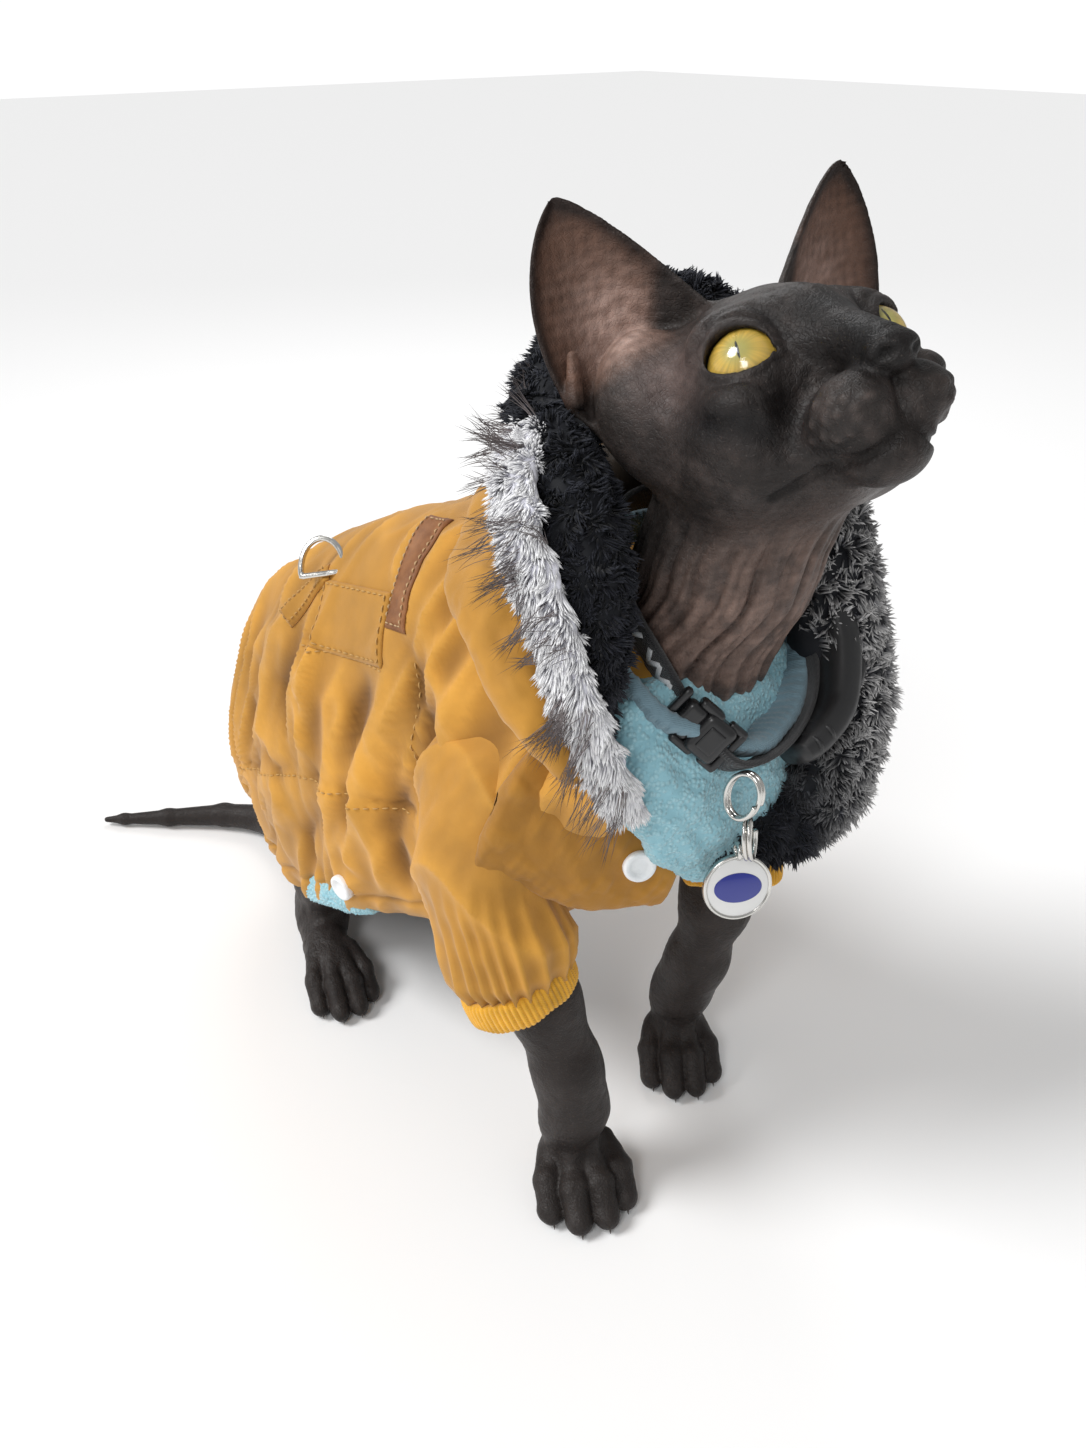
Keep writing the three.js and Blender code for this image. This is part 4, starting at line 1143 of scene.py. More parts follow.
@dataclass
class Skin:
    """The skin: one surface over head, ears and neck, and one each for legs, trunk and tail."""

    head: HeadShape
    body: BodyShape
    face_cell: float = 0.8
    leg_cell: float = 0.95

    def flesh(self, p: Points) -> Array:
        """Distance to the head and neck together."""
        return soft_min(self.head.whole(p), self.body.throat(p), 7)

    def colour_head(self, p: Points) -> Array:
        """Skin colour over the head, ears and neck, with painted shade in its folds and creases and painted
        sheen inside the ears.
        """
        q = self.head.local(p)
        x = np.abs(q[:, 0])
        base = np.tile([0.027, 0.0225, 0.0210], (len(p), 1))

        def blend(mask: Array, colour: Sequence[float]) -> None:
            """Lays a colour over the skin as strongly as the mask says."""
            nonlocal base
            base = base * (1 - mask[:, None]) + np.asarray(colour) * mask[:, None]

        throat = ramp(-q[:, 2], 20, 44) * ramp(-p[:, 2], -292, -262)
        blend(throat * 0.95, (0.205, 0.142, 0.118))
        # painted shade: the grooves between the neck's folds are darkened
        hollow = np.clip(self.body.folds(p) / 2.6, 0, 1) * throat
        blend(hollow * 0.75, (0.040, 0.026, 0.022))
        brow = np.exp(-(((q[:, 2] - 24) / 12) ** 2)) * ramp(q[:, 1], -30, 10)
        blend(brow * 0.35, (0.060, 0.048, 0.042))
        side = mirrored(q)
        pale = 0.5 + 0.5 * wave_noise(p, 12, 71, 4)
        blend(ramp(pale, 0.40, 0.9) * 0.6, (0.058, 0.046, 0.042))
        nose = np.exp(-(((q[:, 1] + 50) / 15) ** 2 + (x / 11) ** 4 + ((q[:, 2] - 0) / 11) ** 4))
        blend(nose * 0.95, (0.0055, 0.0055, 0.006))
        top = np.exp(-(((q[:, 1] + 38) / 12) ** 2 + ((x - 2) / 10) ** 2 + ((q[:, 2] - 14) / 9) ** 2))
        blend(top * 0.75, (0.007, 0.007, 0.0075))
        head = self.head
        # painted shade: near black along the hollow under the eye, the edge of the whisker pad and the crease
        # over the eye
        for line, wide, much in ((head.hollow, 6.0, 0.92), (head.pad, 1.6, 0.5), (head.brow, 1.3, 0.7)):
            away = chain(side, [(*at, 0.0) for at in line], 0.5)
            blend(much * np.exp(-((away / wide) ** 2)), (0.006, 0.0055, 0.006))
        # painted shade: near black along the groove of the mouth
        mouth = chain(side, [(*at[:3], 0.0) for at in head.mouth], 0.5)
        blend(0.97 * np.exp(-((mouth / 1.9) ** 2)), (0.003, 0.002, 0.002))
        for at in head.bumps:
            gap = np.linalg.norm((side - at) * [0.6, 1, 1], axis=1)
            blend(0.7 * np.exp(-((gap / 0.9) ** 2)), (0.085, 0.068, 0.062))
        a, b, s = ((side - head.ear_base) @ axis for axis in head.ear_axes)
        root = np.exp(-(((x - 31) / 9) ** 2 + ((q[:, 1] + 6) / 12) ** 2 + ((q[:, 2] - 17) / 11) ** 2))
        blend(root * 0.8, (0.145, 0.105, 0.095))
        on_ear = ramp(s, 6, 16) * ramp(x, 20, 26)
        blend(on_ear, (0.130, 0.070, 0.048))
        # the lower inside of the ear: partly pinkish skin, partly painted sheen as lighter, mottled patches
        cup = on_ear * np.exp(-(((s - 19) / 16) ** 2 + ((a - 2) / 12) ** 2)) * (b < 21)
        mottle = 0.5 + 0.5 * wave_noise(p, 5, 21, 4)
        blend(np.clip(cup * (0.45 + 0.8 * mottle), 0, 1), (0.430, 0.300, 0.255))
        fall = np.clip((57 - s) / 49, 0, 1)
        inner_edge = np.abs(a + 21.6 * fall**0.66)
        outer_edge = np.abs(a - 25.5 * (1 - (1 - fall) ** 2.3) ** 0.72)
        edge = np.exp(-((np.minimum(inner_edge, outer_edge) / 3.4) ** 2)) * 1.1 + 0.7 * ramp(s, 46, 57)
        blend(np.clip(edge, 0, 0.92) * on_ear, (0.016, 0.012, 0.011))
        near = np.exp(-(((np.linalg.norm(side - head.eye, axis=1) - head.eye_radius) / 1.3) ** 2))
        blend(near * 0.85, (0.008, 0.007, 0.007))
        fine = wave_noise(p, 3.2, 90, 3)
        return base * (1 + 0.16 * wave_noise(p, 22, 9) + 0.22 * fine)[:, None]

    def build(self) -> Object:
        """Makes the skin and paints it."""
        parts = [polygonise(self.flesh, (-42, -232, 176), (92, -84, 356), self.face_cell)]
        colours = [self.colour_head(parts[0][0])]
        limb = np.array([0.026, 0.0215, 0.020])
        for paw in PAWS:
            made = polygonise(paw.shape, paw.low, paw.high, self.leg_cell)
            parts.append(made)
            tone = 1 + 0.18 * wave_noise(made[0], 16, 3) + 0.35 * ramp(made[0][:, 2], 4, 50)
            colours.append(limb * tone[:, None])
        tail = polygonise(lambda p: chain(p, self.body.tail, 3), (-72, 78, -2), (20, 222, 60), 0.9)
        trunk = polygonise(self.body.body, (-62, -150, 24), (66, 116, 236), 3.0)
        for made in (tail, trunk):
            parts.append(made)
            colours.append(np.tile(limb * 1.1, (len(made[0]), 1)))
        points, faces = merged([(p, [f]) for p, f in parts])
        return make_mesh("skin", points, faces, colours=np.concatenate(colours))


@dataclass
class Eye:
    """One eye: a painted ball with a slit pupil under a clear bulge."""

    head: HeadShape
    side: Side

    def build(self, palette: Palette) -> None:
        """Makes the ball and the cornea."""
        head = self.head
        sign = self.side.value
        centre = np.array(head.eye) * [sign, 1, 1]
        way = unit((-0.567, -0.78, 0.29) if self.side is Side.RIGHT else (0.10, -0.90, 0.41))
        across = unit(np.cross(way, (0, 0, 1)))
        up = np.cross(across, way)
        rings, sides = 110, 96
        polar = (np.linspace(0, 1, rings) ** 1.35)[:, None] * math.pi
        turn = turns(sides)[None, :]
        u = np.sin(polar) * np.cos(turn)
        v = np.sin(polar) * np.sin(turn)
        w = np.cos(polar) * np.ones_like(turn)
        sphere = u[..., None] * across + v[..., None] * up + w[..., None] * way
        r = head.eye_radius
        points = centre + sphere.reshape(-1, 3) * (r - 0.35)
        faces = grid_faces(rings, sides)
        uu, vv, ww = u.ravel(), v.ravel(), w.ravel()
        reach = np.hypot(uu, vv)
        angle = np.arctan2(vv, uu)
        wide = np.sin(angle * 47 + 3 * np.sin(angle * 9))
        fibre = 0.5 + 0.25 * wide + 0.25 * np.sin(angle * 83 + 2 * np.sin(angle * 5))
        amber = np.array([0.82, 0.56, 0.10])
        olive = np.array([0.62, 0.56, 0.14])
        colour = amber + (olive - amber) * ramp(-reach, -0.55, -0.1)[:, None]
        colour = colour * (0.80 + 0.36 * fibre * ramp(reach, 0.1, 0.5))[:, None]
        colour = colour * (1 - 0.75 * ramp(reach, 0.90, 0.98))[:, None]
        white = ramp(-ww, -0.02, 0.06)[:, None]
        colour = colour * (1 - np.clip(white, 0, 1)) + np.array([0.07, 0.045, 0.04]) * np.clip(white, 0, 1)
        slit = np.hypot(uu / 0.036, vv / 0.25)
        pupil = (1 - ramp(slit, 0.92, 1.06)) * (ww > 0)
        colour = colour * (1 - pupil[:, None]) + np.array([0.004, 0.004, 0.004]) * pupil[:, None]
        name = f"eyeball_{self.side.word}"
        ball = make_mesh(name, head.world(points), faces, colours=colour)
        keep(ball, palette.iris(), [f"eye_{self.side.word}"])
        bulge = 1 + 0.075 * np.exp(-((reach / 0.62) ** 4)) * (ww > 0)
        points = centre + sphere.reshape(-1, 3) * (r * bulge - 0.02 * r)[:, None]
        clear = make_mesh(f"cornea_{self.side.word}", head.world(points), faces)
        keep(clear, palette.cornea())


# The studio


@dataclass
class Studio:
    """Pale floor, soft light and the camera."""

    eye_mm: Triple = (-248.0, -372.0, 386.0)
    azimuth_degrees: float = -40.5
    pitch_degrees: float = 30.0
    lens: float = 31.18
    sky: float = 0.40
    sun: float = 2.3

    def build(self) -> None:
        """Sets the camera, the floor, the lights and the world."""
        scene = bpy.context.scene
        data = bpy.data.cameras.new("Camera")
        data.lens = self.lens
        data.sensor_width = 36.0
        data.sensor_fit = "AUTO"
        data.clip_start = 0.01
        camera = bpy.data.objects.new("Camera", data)
        camera.location = metres(np.array(self.eye_mm))
        camera.rotation_euler = (math.radians(90 - self.pitch_degrees), 0, math.radians(self.azimuth_degrees))
        scene.collection.objects.link(camera)
        scene.camera = camera
        scene.view_settings.view_transform = "Standard"
        floor = bpy.data.meshes.new("Floor")
        size = 6.0
        corners = [(-size, -size, 0), (size, -size, 0), (size, size, 0), (-size, size, 0)]
        floor.from_pydata(corners, [], [(0, 1, 2, 3)])
        ground = bpy.data.objects.new("Floor", floor)
        scene.collection.objects.link(ground)
        paper = Shader("White paper", Finish((0.94, 0.94, 0.94), 0.9))
        floor.materials.append(paper.material)
        world = bpy.data.worlds.new("Studio")
        scene.world = world
        world.use_nodes = True
        sky = world.node_tree.nodes["Background"]
        sky.inputs[0].default_value = (1, 1, 1, 1)
        path = world.node_tree.nodes.new("ShaderNodeLightPath")
        span = world.node_tree.nodes.new("ShaderNodeMapRange")
        span.inputs["To Min"].default_value = self.sky
        span.inputs["To Max"].default_value = 1.03
        world.node_tree.links.new(path.outputs["Is Camera Ray"], span.inputs["Value"])
        world.node_tree.links.new(span.outputs["Result"], sky.inputs[1])
        data = bpy.data.lights.new("Sun", "SUN")
        data.energy = self.sun
        data.angle = math.radians(24)
        sun = bpy.data.objects.new("Sun", data)
        sun.rotation_euler = Vector((-0.80, 0.50, 1.0)).to_track_quat("Z", "Y").to_euler()
        scene.collection.objects.link(sun)
        self.lamp("Key", (-0.85, -0.55, 0.9), 0.30, 3.6)
        self.lamp("Rim", (0.55, 0.75, 0.95), 0.5, 2.6)

    def lamp(self, name: str, at: Triple, size: float, watts: float) -> None:
        """Adds a soft area light aimed at the cat."""
        data = bpy.data.lights.new(name, "AREA")
        data.size = size
        data.energy = watts
        lamp = bpy.data.objects.new(name, data)
        lamp.location = at
        lamp.rotation_euler = (Vector((0, -0.03, 0.2)) - Vector(at)).to_track_quat("-Z", "Y").to_euler()
        bpy.context.scene.collection.objects.link(lamp)


# Sewn and cast pieces


def stops(count: int, start: tuple[float, int], end: tuple[float, int] = (1.0, 1)) -> Array:
    """Places along a loft, with where its two round ends begin and stop and in how many steps."""
    middle = np.linspace(0, 1, count)
    return np.concatenate([np.linspace(start[0], 0, start[1])[:-1], middle, np.linspace(1, *end)[1:]])


def loft(
    stations: Rows,
    t: Array,
    turn: Array,
    across: Sequence[float],
    power: float = 1.0,
    pear: float = 0.0,
) -> Points:
    """A grid of points round a line of stations, with round ends where t runs past 0 or 1.

    Args:
        stations: rows of x, y, z, half width, half depth.
        t: places along the line; from -1 to 0 and from 1 to 2 lie the ends.
        turn: angles round the section.
        across: the way of the width.
        power: under 1 squares the section.
        pear: widens one side of the section.

    Returns:
        Points with one row for each t.
    """
    inner = np.clip(t, 0, 1)
    at = curve(stations, inner)
    ahead, behind = (curve(stations, np.clip(inner + k, 0, 1)) for k in (0.004, -0.004))
    step = ahead - behind
    way = step[:, :3] / np.linalg.norm(step[:, :3], axis=1, keepdims=True)
    side = np.asarray(across, float) - (way @ np.asarray(across, float))[:, None] * way
    side /= np.linalg.norm(side, axis=1, keepdims=True)
    up = np.cross(way, side)
    past = np.clip(np.where(t < 0, t, t - 1), -1, 1) * ((t < 0) | (t > 1))
    lift = past * math.pi / 2 * 0.985
    round_ = np.minimum(at[:, 3], at[:, 4]) * 0.7
    centre = at[:, :3] + way * (round_ * np.sin(lift))[:, None]
    a = (at[:, 3] * np.cos(lift))[:, None]
    b = (at[:, 4] * np.cos(lift))[:, None]
    c, s = squared(turn, power)
    wide = a * (c * (1 + pear * s))[None]
    deep = b * s[None]
    return centre[:, None] + wide[..., None] * side[:, None] + deep[..., None] * up[:, None]


def normals(grid: Points) -> Points:
    """Outward directions over a grid whose columns wrap."""
    du = np.gradient(grid, axis=0)
    dv = np.roll(grid, -1, 1) - np.roll(grid, 1, 1)
    out = np.cross(dv, du)
    out /= np.maximum(np.linalg.norm(out, axis=2, keepdims=True), 1e-9)
    middle = grid.mean(1, keepdims=True)
    facing = np.sign(((grid - middle) * out).sum(2).mean())
    return out * facing


def near_line(p2: Points, line: Rows) -> tuple[Array, Array]:
    """How far flat points lie from a line of points, and how far along it (0 to 1)."""
    best = np.full(len(p2), 1e9)
    where = np.zeros(len(p2))
    parts = list(zip(line[:-1], line[1:]))
    for k, (a, b) in enumerate(parts):
        a, b = np.asarray(a, float), np.asarray(b, float)
        ab = b - a
        h = np.clip(((p2 - a) @ ab) / (ab @ ab), 0, 1)
        d = np.linalg.norm(p2 - a - h[:, None] * ab, axis=1)
        closer = d < best
        best = np.where(closer, d, best)
        where = np.where(closer, (k + h) / len(parts), where)
    return best, where


def cavity(lift: Array, reach: int, much: float) -> Points:
    """Painted shade and painted light for each point of a folded grid, as a grey: darker where it lies lower
    than its neighbours, lighter where it stands higher.
    """
    soft = lift
    for axis in (0, 1):
        soft = sum(np.roll(soft, k, axis) for k in range(-reach, reach + 1)) / (2 * reach + 1)
    shade = np.clip(1 + much * (lift - soft), 0.35, 1.22).reshape(-1, 1)
    return np.concatenate([shade, shade**1.12, shade**1.35], 1)


class Surface:
    """A finished piece that others are sewn to."""

    def __init__(self, *pieces: Object) -> None:
        """Takes the surface of one or more pieces."""
        points: list[Vector] = []
        faces: list[tuple[int, ...]] = []
        for piece in pieces:
            start = len(points)
            points += [v.co.copy() for v in piece.data.vertices]
            faces += [tuple(start + k for k in f.vertices) for f in piece.data.polygons]
        self.tree = BVHTree.FromPolygons(points, faces)

    def drop(self, points: Points, way: Sequence[float], lift: float) -> Points:
        """Drops points along a way onto the surface and raises them by lift.

        Args:
            points: points outside the surface, in mm.
            way: the direction in which they fall.
            lift: how far above the surface they stay, against that direction.

        Returns:
            The points, in mm; one that meets nothing falls as far as the last one did.
        """
        fall = Vector(unit(way))
        out = []
        reach = DROP
        for p in metres(points):
            hit, _, _, distance = self.tree.ray_cast(Vector(p), fall, 0.12)
            if hit is not None:
                reach = distance * 1000
            out.append(p * 1000 - TO_FRAME + np.array(fall) * (reach - lift))
        return np.array(out)


@dataclass(frozen=True)
class Spot:
    """A place on a piece: where, which way is up along it and which way it faces."""

    at: Triple
    out: Triple
    up: Triple = (0.0, 0.0, 1.0)

    def axes(self) -> Array:
        """Rows: across, up and out."""
        z = unit(self.out)
        y = unit(np.asarray(self.up, float) - np.dot(self.up, z) * z)
        return np.stack([np.cross(y, z), y, z])

    def place(self, local: Points) -> Points:
        """Local points in the cat's frame."""
        return np.asarray(local, float) @ self.axes() + self.at


def turned(profile: Sequence[tuple[float, float]], sides: int = 48) -> Solid:
    """A solid turned about z from a profile of radius and height that starts and ends on the axis."""
    inner = np.array(profile[1:-1])
    angle = turns(sides)
    wide, high = inner[:, :1], np.repeat(inner[:, 1:], sides, 1)
    ringed = np.stack([wide * np.cos(angle), wide * np.sin(angle), high], -1)
    points = np.concatenate([ringed.reshape(-1, 3), [[0, 0, profile[0][1]], [0, 0, profile[-1][1]]]])
    n = len(inner)
    k = np.arange(sides)
    first = np.stack([k, np.full(sides, n * sides), (k + 1) % sides], 1)
    rim = (n - 1) * sides
    last = np.stack([rim + k, rim + (k + 1) % sides, np.full(sides, n * sides + 1)], 1)
    return points, [grid_faces(n, sides), first, last]


def torus(
    radius: float, wire: float, stretch: float = 1.0, rounds: float = 1.0, pitch: float = 0.0
) -> Solid:
    """A wire ring in the xy plane, drawn out along y, of one closed turn or of several."""
    n = int(72 * rounds)
    closed = rounds == 1.0
    angle = np.linspace(0, 2 * math.pi * rounds, n, endpoint=not closed)
    path = np.stack([radius * np.cos(angle), radius * stretch * np.sin(angle), pitch * angle / 6.283], 1)
    return tube(path, wire, wire, (0, 0, 1), 14, closed)


def rounded_box(size: Sequence[float], edge: float, steps: int = 5) -> Solid:
    """A box with rounded edges, as a cube grid pushed onto the rounded shape."""
    half = np.asarray(size, float) / 2
    n = steps * 4
    line = np.tan(np.linspace(-1, 1, n + 1) * math.pi / 4)
    a, b = np.meshgrid(line, line, indexing="ij")
    one = np.ones_like(a)
    sheets, faces = [], []
    for k, (axis, sign) in enumerate([(i, s) for i in range(3) for s in (-1, 1)]):
        sheet = [None, None, None]
        sheet[axis], sheet[(axis + 1) % 3], sheet[(axis + 2) % 3] = one * sign, a, b
        sheets.append(np.stack(sheet, -1).reshape(-1, 3))
        f = grid_faces(n + 1, n + 1, False, False)
        faces.append((f if sign > 0 else f[:, ::-1]) + k * (n + 1) ** 2)
    points = np.concatenate(sheets)
    core = np.maximum(half - edge, 0)
    inner = np.clip(points * half, -core, core)
    rest = points * half - inner
    length = np.linalg.norm(rest, axis=1, keepdims=True)
    points = inner + rest / np.maximum(length, 1e-9) * edge
    used, index = np.unique(np.round(points, 4), axis=0, return_inverse=True)
    good = [f for f in index.ravel()[np.concatenate(faces)] if len(set(f)) == 4]
    return used, [np.array(good)]


def stitches(
    path: Points, lift: Sequence[float], long: float = 2.5, gap: float = 1.3, thick: float = 0.32
) -> Solid:
    """Short threads in a row along a path, each bowed a little away from the cloth."""
    step = np.linalg.norm(np.diff(path, axis=0), axis=1)
    run = np.concatenate([[0], np.cumsum(step)])
    parts = []
    up = unit(lift)
    start = gap / 2
    while start + long < run[-1]:
        at = start + np.linspace(0, long, 6)
        line = np.stack([np.interp(at, run, path[:, k]) for k in range(3)], 1)
        bow = np.sin(np.linspace(0, math.pi, 6))
        line = line + up * (bow * 0.35 - 0.1)[:, None]
        wide = thick * (0.35 + 0.65 * bow)
        parts.append(tube(line, wide, wide, up, 7))
        start += long + gap
    return merged(parts) if parts else (np.zeros((0, 3)), [])


# The coat


@dataclass(frozen=True)
class Fold:
    """One fold of cloth: a line of (y, z) points, how far it stands out and how wide it is."""

    line: tuple[tuple[float, float], ...]
    height: float
    width: float


# Folds of the coat as they fall on the cat's right, from the collar to the tail
RIGHT_FOLDS = (
    Fold(((-44, 199), (-41, 170), (-34, 140), (-40, 112), (-48, 84)), 3.2, 6.5),
    Fold(((-30, 182), (-26, 158), (-30, 132), (-22, 110)), -2.6, 5.0),
    Fold(((-18, 184), (-8, 158), (-14, 128)), 2.2, 5.5),
    Fold(((2, 178), (12, 152), (6, 124)), 2.8, 5.5),
    Fold(((14, 178), (28, 150), (22, 118)), -2.4, 5.0),
    Fold(((28, 184), (44, 150), (44, 112)), 2.6, 6.5),
    Fold(((48, 160), (62, 132), (60, 100)), -2.0, 5.0),
    Fold(((66, 142), (78, 112), (72, 84)), 2.4, 6.0),
    Fold(((-56, 208), (-60, 184), (-72, 164), (-84, 156)), -2.4, 5.0),
    Fold(((-62, 214), (-72, 194), (-86, 180)), 2.2, 5.5),
    Fold(((-58, 150), (-52, 124), (-58, 92)), -3.0, 5.5),
    Fold(((-24, 118), (-14, 98), (-18, 78)), 2.4, 5.5),
    Fold(((0, 112), (10, 90), (4, 70)), -2.2, 5.0),
    Fold(((24, 108), (32, 86), (28, 66)), 2.6, 5.5),
    Fold(((46, 98), (52, 76), (48, 58)), -1.9, 4.5),
    Fold(((68, 84), (70, 66), (64, 50)), 2.0, 4.5),
)
POCKET_SEAM = ((14, 176), (-10, 181), (-43, 187))
GATHER_SEAM = ((84, 88), (50, 104), (10, 122), (-30, 132), (-62, 138))
ARM_SEAM = ((-58, 196), (-60, 170), (-66, 150), (-74, 128), (-76, 112))


@dataclass
class Coat:
    """The coat's body, its folds and seams."""

    stations: Table = (
        (11, -124, 198, 42, 44), (10, -88, 177, 50, 70), (8, -38, 152, 52, 79), (6, 8, 127, 53, 80),
        (5, 48, 101, 50, 73), (4, 78, 77, 43, 60), (2, 95, 57, 31, 41),
    )
    hem_at: Triple = (0.0, 59.2, 36.2)
    hem_normal: Triple = (0.0, 0.352, 0.936)
    rows: int = 176
    columns: int = 300

    def rise(self, p: Points) -> Array:
        """How far the cloth stands out from the plain shape at each point."""
        flat = p[:, 1:]
        right = ramp(-p[:, 0], -16, 6)
        out = np.zeros(len(p))
        for fold in RIGHT_FOLDS:
            for side, shift in ((right, 0.0), (1 - right, 9.0)):
                line = [(y + shift + 3 * math.sin(z * 0.1), z - shift * 0.4) for y, z in fold.line]
                d, along_line = near_line(flat, line)
                fade = np.sin(np.clip(along_line, 0.03, 0.97) * math.pi) ** 0.6
                out += side * fade * fold.height * 1.5 * np.exp(-((d / fold.width) ** 1.35))
        d, _ = near_line(flat, GATHER_SEAM)
        below = self.above(flat, GATHER_SEAM) < 0
        reach = np.exp(-(((d - 5) / 13) ** 2)) * np.where(below, 1, 0.45)
        out += 1.1 * reach * np.abs(np.sin((p[:, 1] + 3 * np.sin(p[:, 2] / 12)) * math.pi / 13)) ** 0.7
        for line, deep in ((GATHER_SEAM, 1.5), (POCKET_SEAM, 0.9), (ARM_SEAM, 1.6)):
            d, _ = near_line(flat, line)
            out -= deep * np.exp(-((d / 1.5) ** 2)) * ramp(np.abs(p[:, 0] - 8), 16, 28)
        from_hem = (p - self.hem_at) @ np.array(self.hem_normal)
        out += 0.9 * np.exp(-(((from_hem - 5) / 5.5) ** 2))
        out -= 1.0 * np.exp(-(((from_hem - 12) / 1.2) ** 2))
        out += 0.6 * ramp(-from_hem, -34, -4) * np.sin(p[:, 1] / 4.4 + 2.4 * np.sin(p[:, 2] / 11))
        out += 0.7 * wave_noise(p * [1, 1, 0.4], 34, 12, 2)
        # pinched folds run down the sides, broken up along their length
        for period, high, seed in ((21.0, 3.4, 51), (34.0, 4.2, 52), (12.0, 0.8, 53)):
            warp = 11.0 * wave_noise(p * [0.2, 0.7, 0.4], 46, seed, 1) + 0.35 * (p[:, 2] - 110)
            ridge = 1 - np.abs(np.sin((p[:, 1] + warp) * math.pi / period)) ** 0.85
            much = ramp(wave_noise(p * [0.2, 0.8, 0.4], 40, seed + 5, 1), -0.2, 0.5)
            out += high * much * ridge * ramp(np.abs(p[:, 0] - 7), 8, 26)
        crease = 1 - np.abs(wave_noise(p * [0.6, 1, 0.35], 46, 31, 2)) * 3.4
        out += 1.0 * np.clip(crease, 0, 1) ** 1.6 - 1.4
        # the cloth lies flatter round the pocket, the patch and the tab
        flat_part = np.exp(-((((p[:, 1] + 12) / 46) ** 2 + ((p[:, 2] - 200) / 24) ** 2) ** 2))
        return out * (1 - 0.72 * flat_part)

    @staticmethod
    def above(flat: Points, line: Rows) -> Array:
        """How far points lie above a line of (y, z) points."""
        ordered = sorted(line)
        return flat[:, 1] - np.interp(flat[:, 0], [a for a, _ in ordered], [b for _, b in ordered])

    def build(self) -> Object:
        """Makes the cloth, cut at the hem and turned in there."""
        t = stops(self.rows, (-0.9, 14), (2, 34))
        grid = loft(self.stations, t, turns(self.columns), (1, 0, 0), 0.66, 0.2)
        out = normals(grid)
        lift = self.rise(grid.reshape(-1, 3)).reshape(grid.shape[:2])
        lift *= np.clip((2 - t) / 0.5, 0.1, 1)[:, None]
        grid = grid + out * lift[..., None]
        # the grey carried as Paint is painted shade in the coat's folds and painted light on its ridges
        piece = grid_mesh("coat_cloth", grid, cavity(lift, 7, 0.20))
        mesh = bmesh.new()
        mesh.from_mesh(piece.data)
        parts = mesh.verts[:] + mesh.edges[:] + mesh.faces[:]
        at = metres(np.array(self.hem_at))
        bmesh.ops.bisect_plane(mesh, geom=parts, plane_co=at, plane_no=self.hem_normal, clear_inner=True)
        mesh.to_mesh(piece.data)
        mesh.free()
        thicken(piece, 1.5)
        return piece


def thicken(piece: Object, thick: float) -> None:
    """Gives a sheet a thickness in mm, inwards."""
    made = piece.modifiers.new("Thickness", "SOLIDIFY")
    made.thickness = thick / 1000
    made.offset = -1


@dataclass(frozen=True)
class Patch:
    """A flat piece of cloth or leather that follows what it is sewn to."""

    name: str
    spot: Spot
    size: tuple[float, float]
    thick: float
    corner: float = 1.5

    def grid(self, surface: Surface, across: int, up: int, lift: float, inset: float = 0.0) -> Points:
        """Points over the patch, dropped onto the surface."""
        a = np.linspace(-0.5, 0.5, across) * (self.size[0] - 2 * inset)
        b = np.linspace(-0.5, 0.5, up) * (self.size[1] - 2 * inset)
        a, b = np.meshgrid(a, b, indexing="ij")
        local = np.stack([a, b, np.full_like(a, DROP)], -1).reshape(-1, 3)
        return surface.drop(self.spot.place(local), -np.array(self.spot.out), lift)

    def build(self, surface: Surface) -> Object:
        """Makes the patch, with its rim turned down."""
        n = [max(12, int(s / 0.9)) for s in self.size]
        top = self.grid(surface, n[0], n[1], self.thick)
        low = self.grid(surface, n[0], n[1], 0.1)
        i, j = np.meshgrid(np.arange(n[0]), np.arange(n[1]), indexing="ij")
        edge = np.minimum(np.minimum(i, n[0] - 1 - i), np.minimum(j, n[1] - 1 - j)).ravel()
        blend = np.clip(edge / 2.0, 0, 1) ** 0.6
        top = low + (top - low) * (0.25 + 0.75 * blend)[:, None]
        faces = grid_faces(n[0], n[1], False, False)
        sides = (
            np.arange(n[1]),
            np.arange(1, n[0]) * n[1] + n[1] - 1,
            (n[0] - 1) * n[1] + np.arange(n[1] - 2, -1, -1),
            np.arange(n[0] - 2, 0, -1) * n[1],
        )
        rim = np.concatenate(sides)
        nxt = np.roll(rim, -1)
        count = n[0] * n[1]
        wall = np.stack([rim, rim + count, nxt + count, nxt], 1)
        return make_mesh(self.name, np.concatenate([top, low]), [faces, faces[:, ::-1] + count, wall])

    def border(self, surface: Surface, inset: float, lift: float) -> Points:
        """A closed path near the patch's edge."""
        a, b = (s / 2 - inset for s in self.size)
        corners = [(-a, -b), (a, -b), (a, b), (-a, b), (-a, -b)]
        steps = 24
        pairs = zip(corners[:-1], corners[1:])
        line = [np.array(p) + (np.array(q) - p) * k / steps for p, q in pairs for k in range(steps)]
        local = np.array([[x, y, DROP] for x, y in line + [corners[-1]]])
        return surface.drop(self.spot.place(local), -np.array(self.spot.out), lift)


# Sleeves, cuffs, hood, shirt


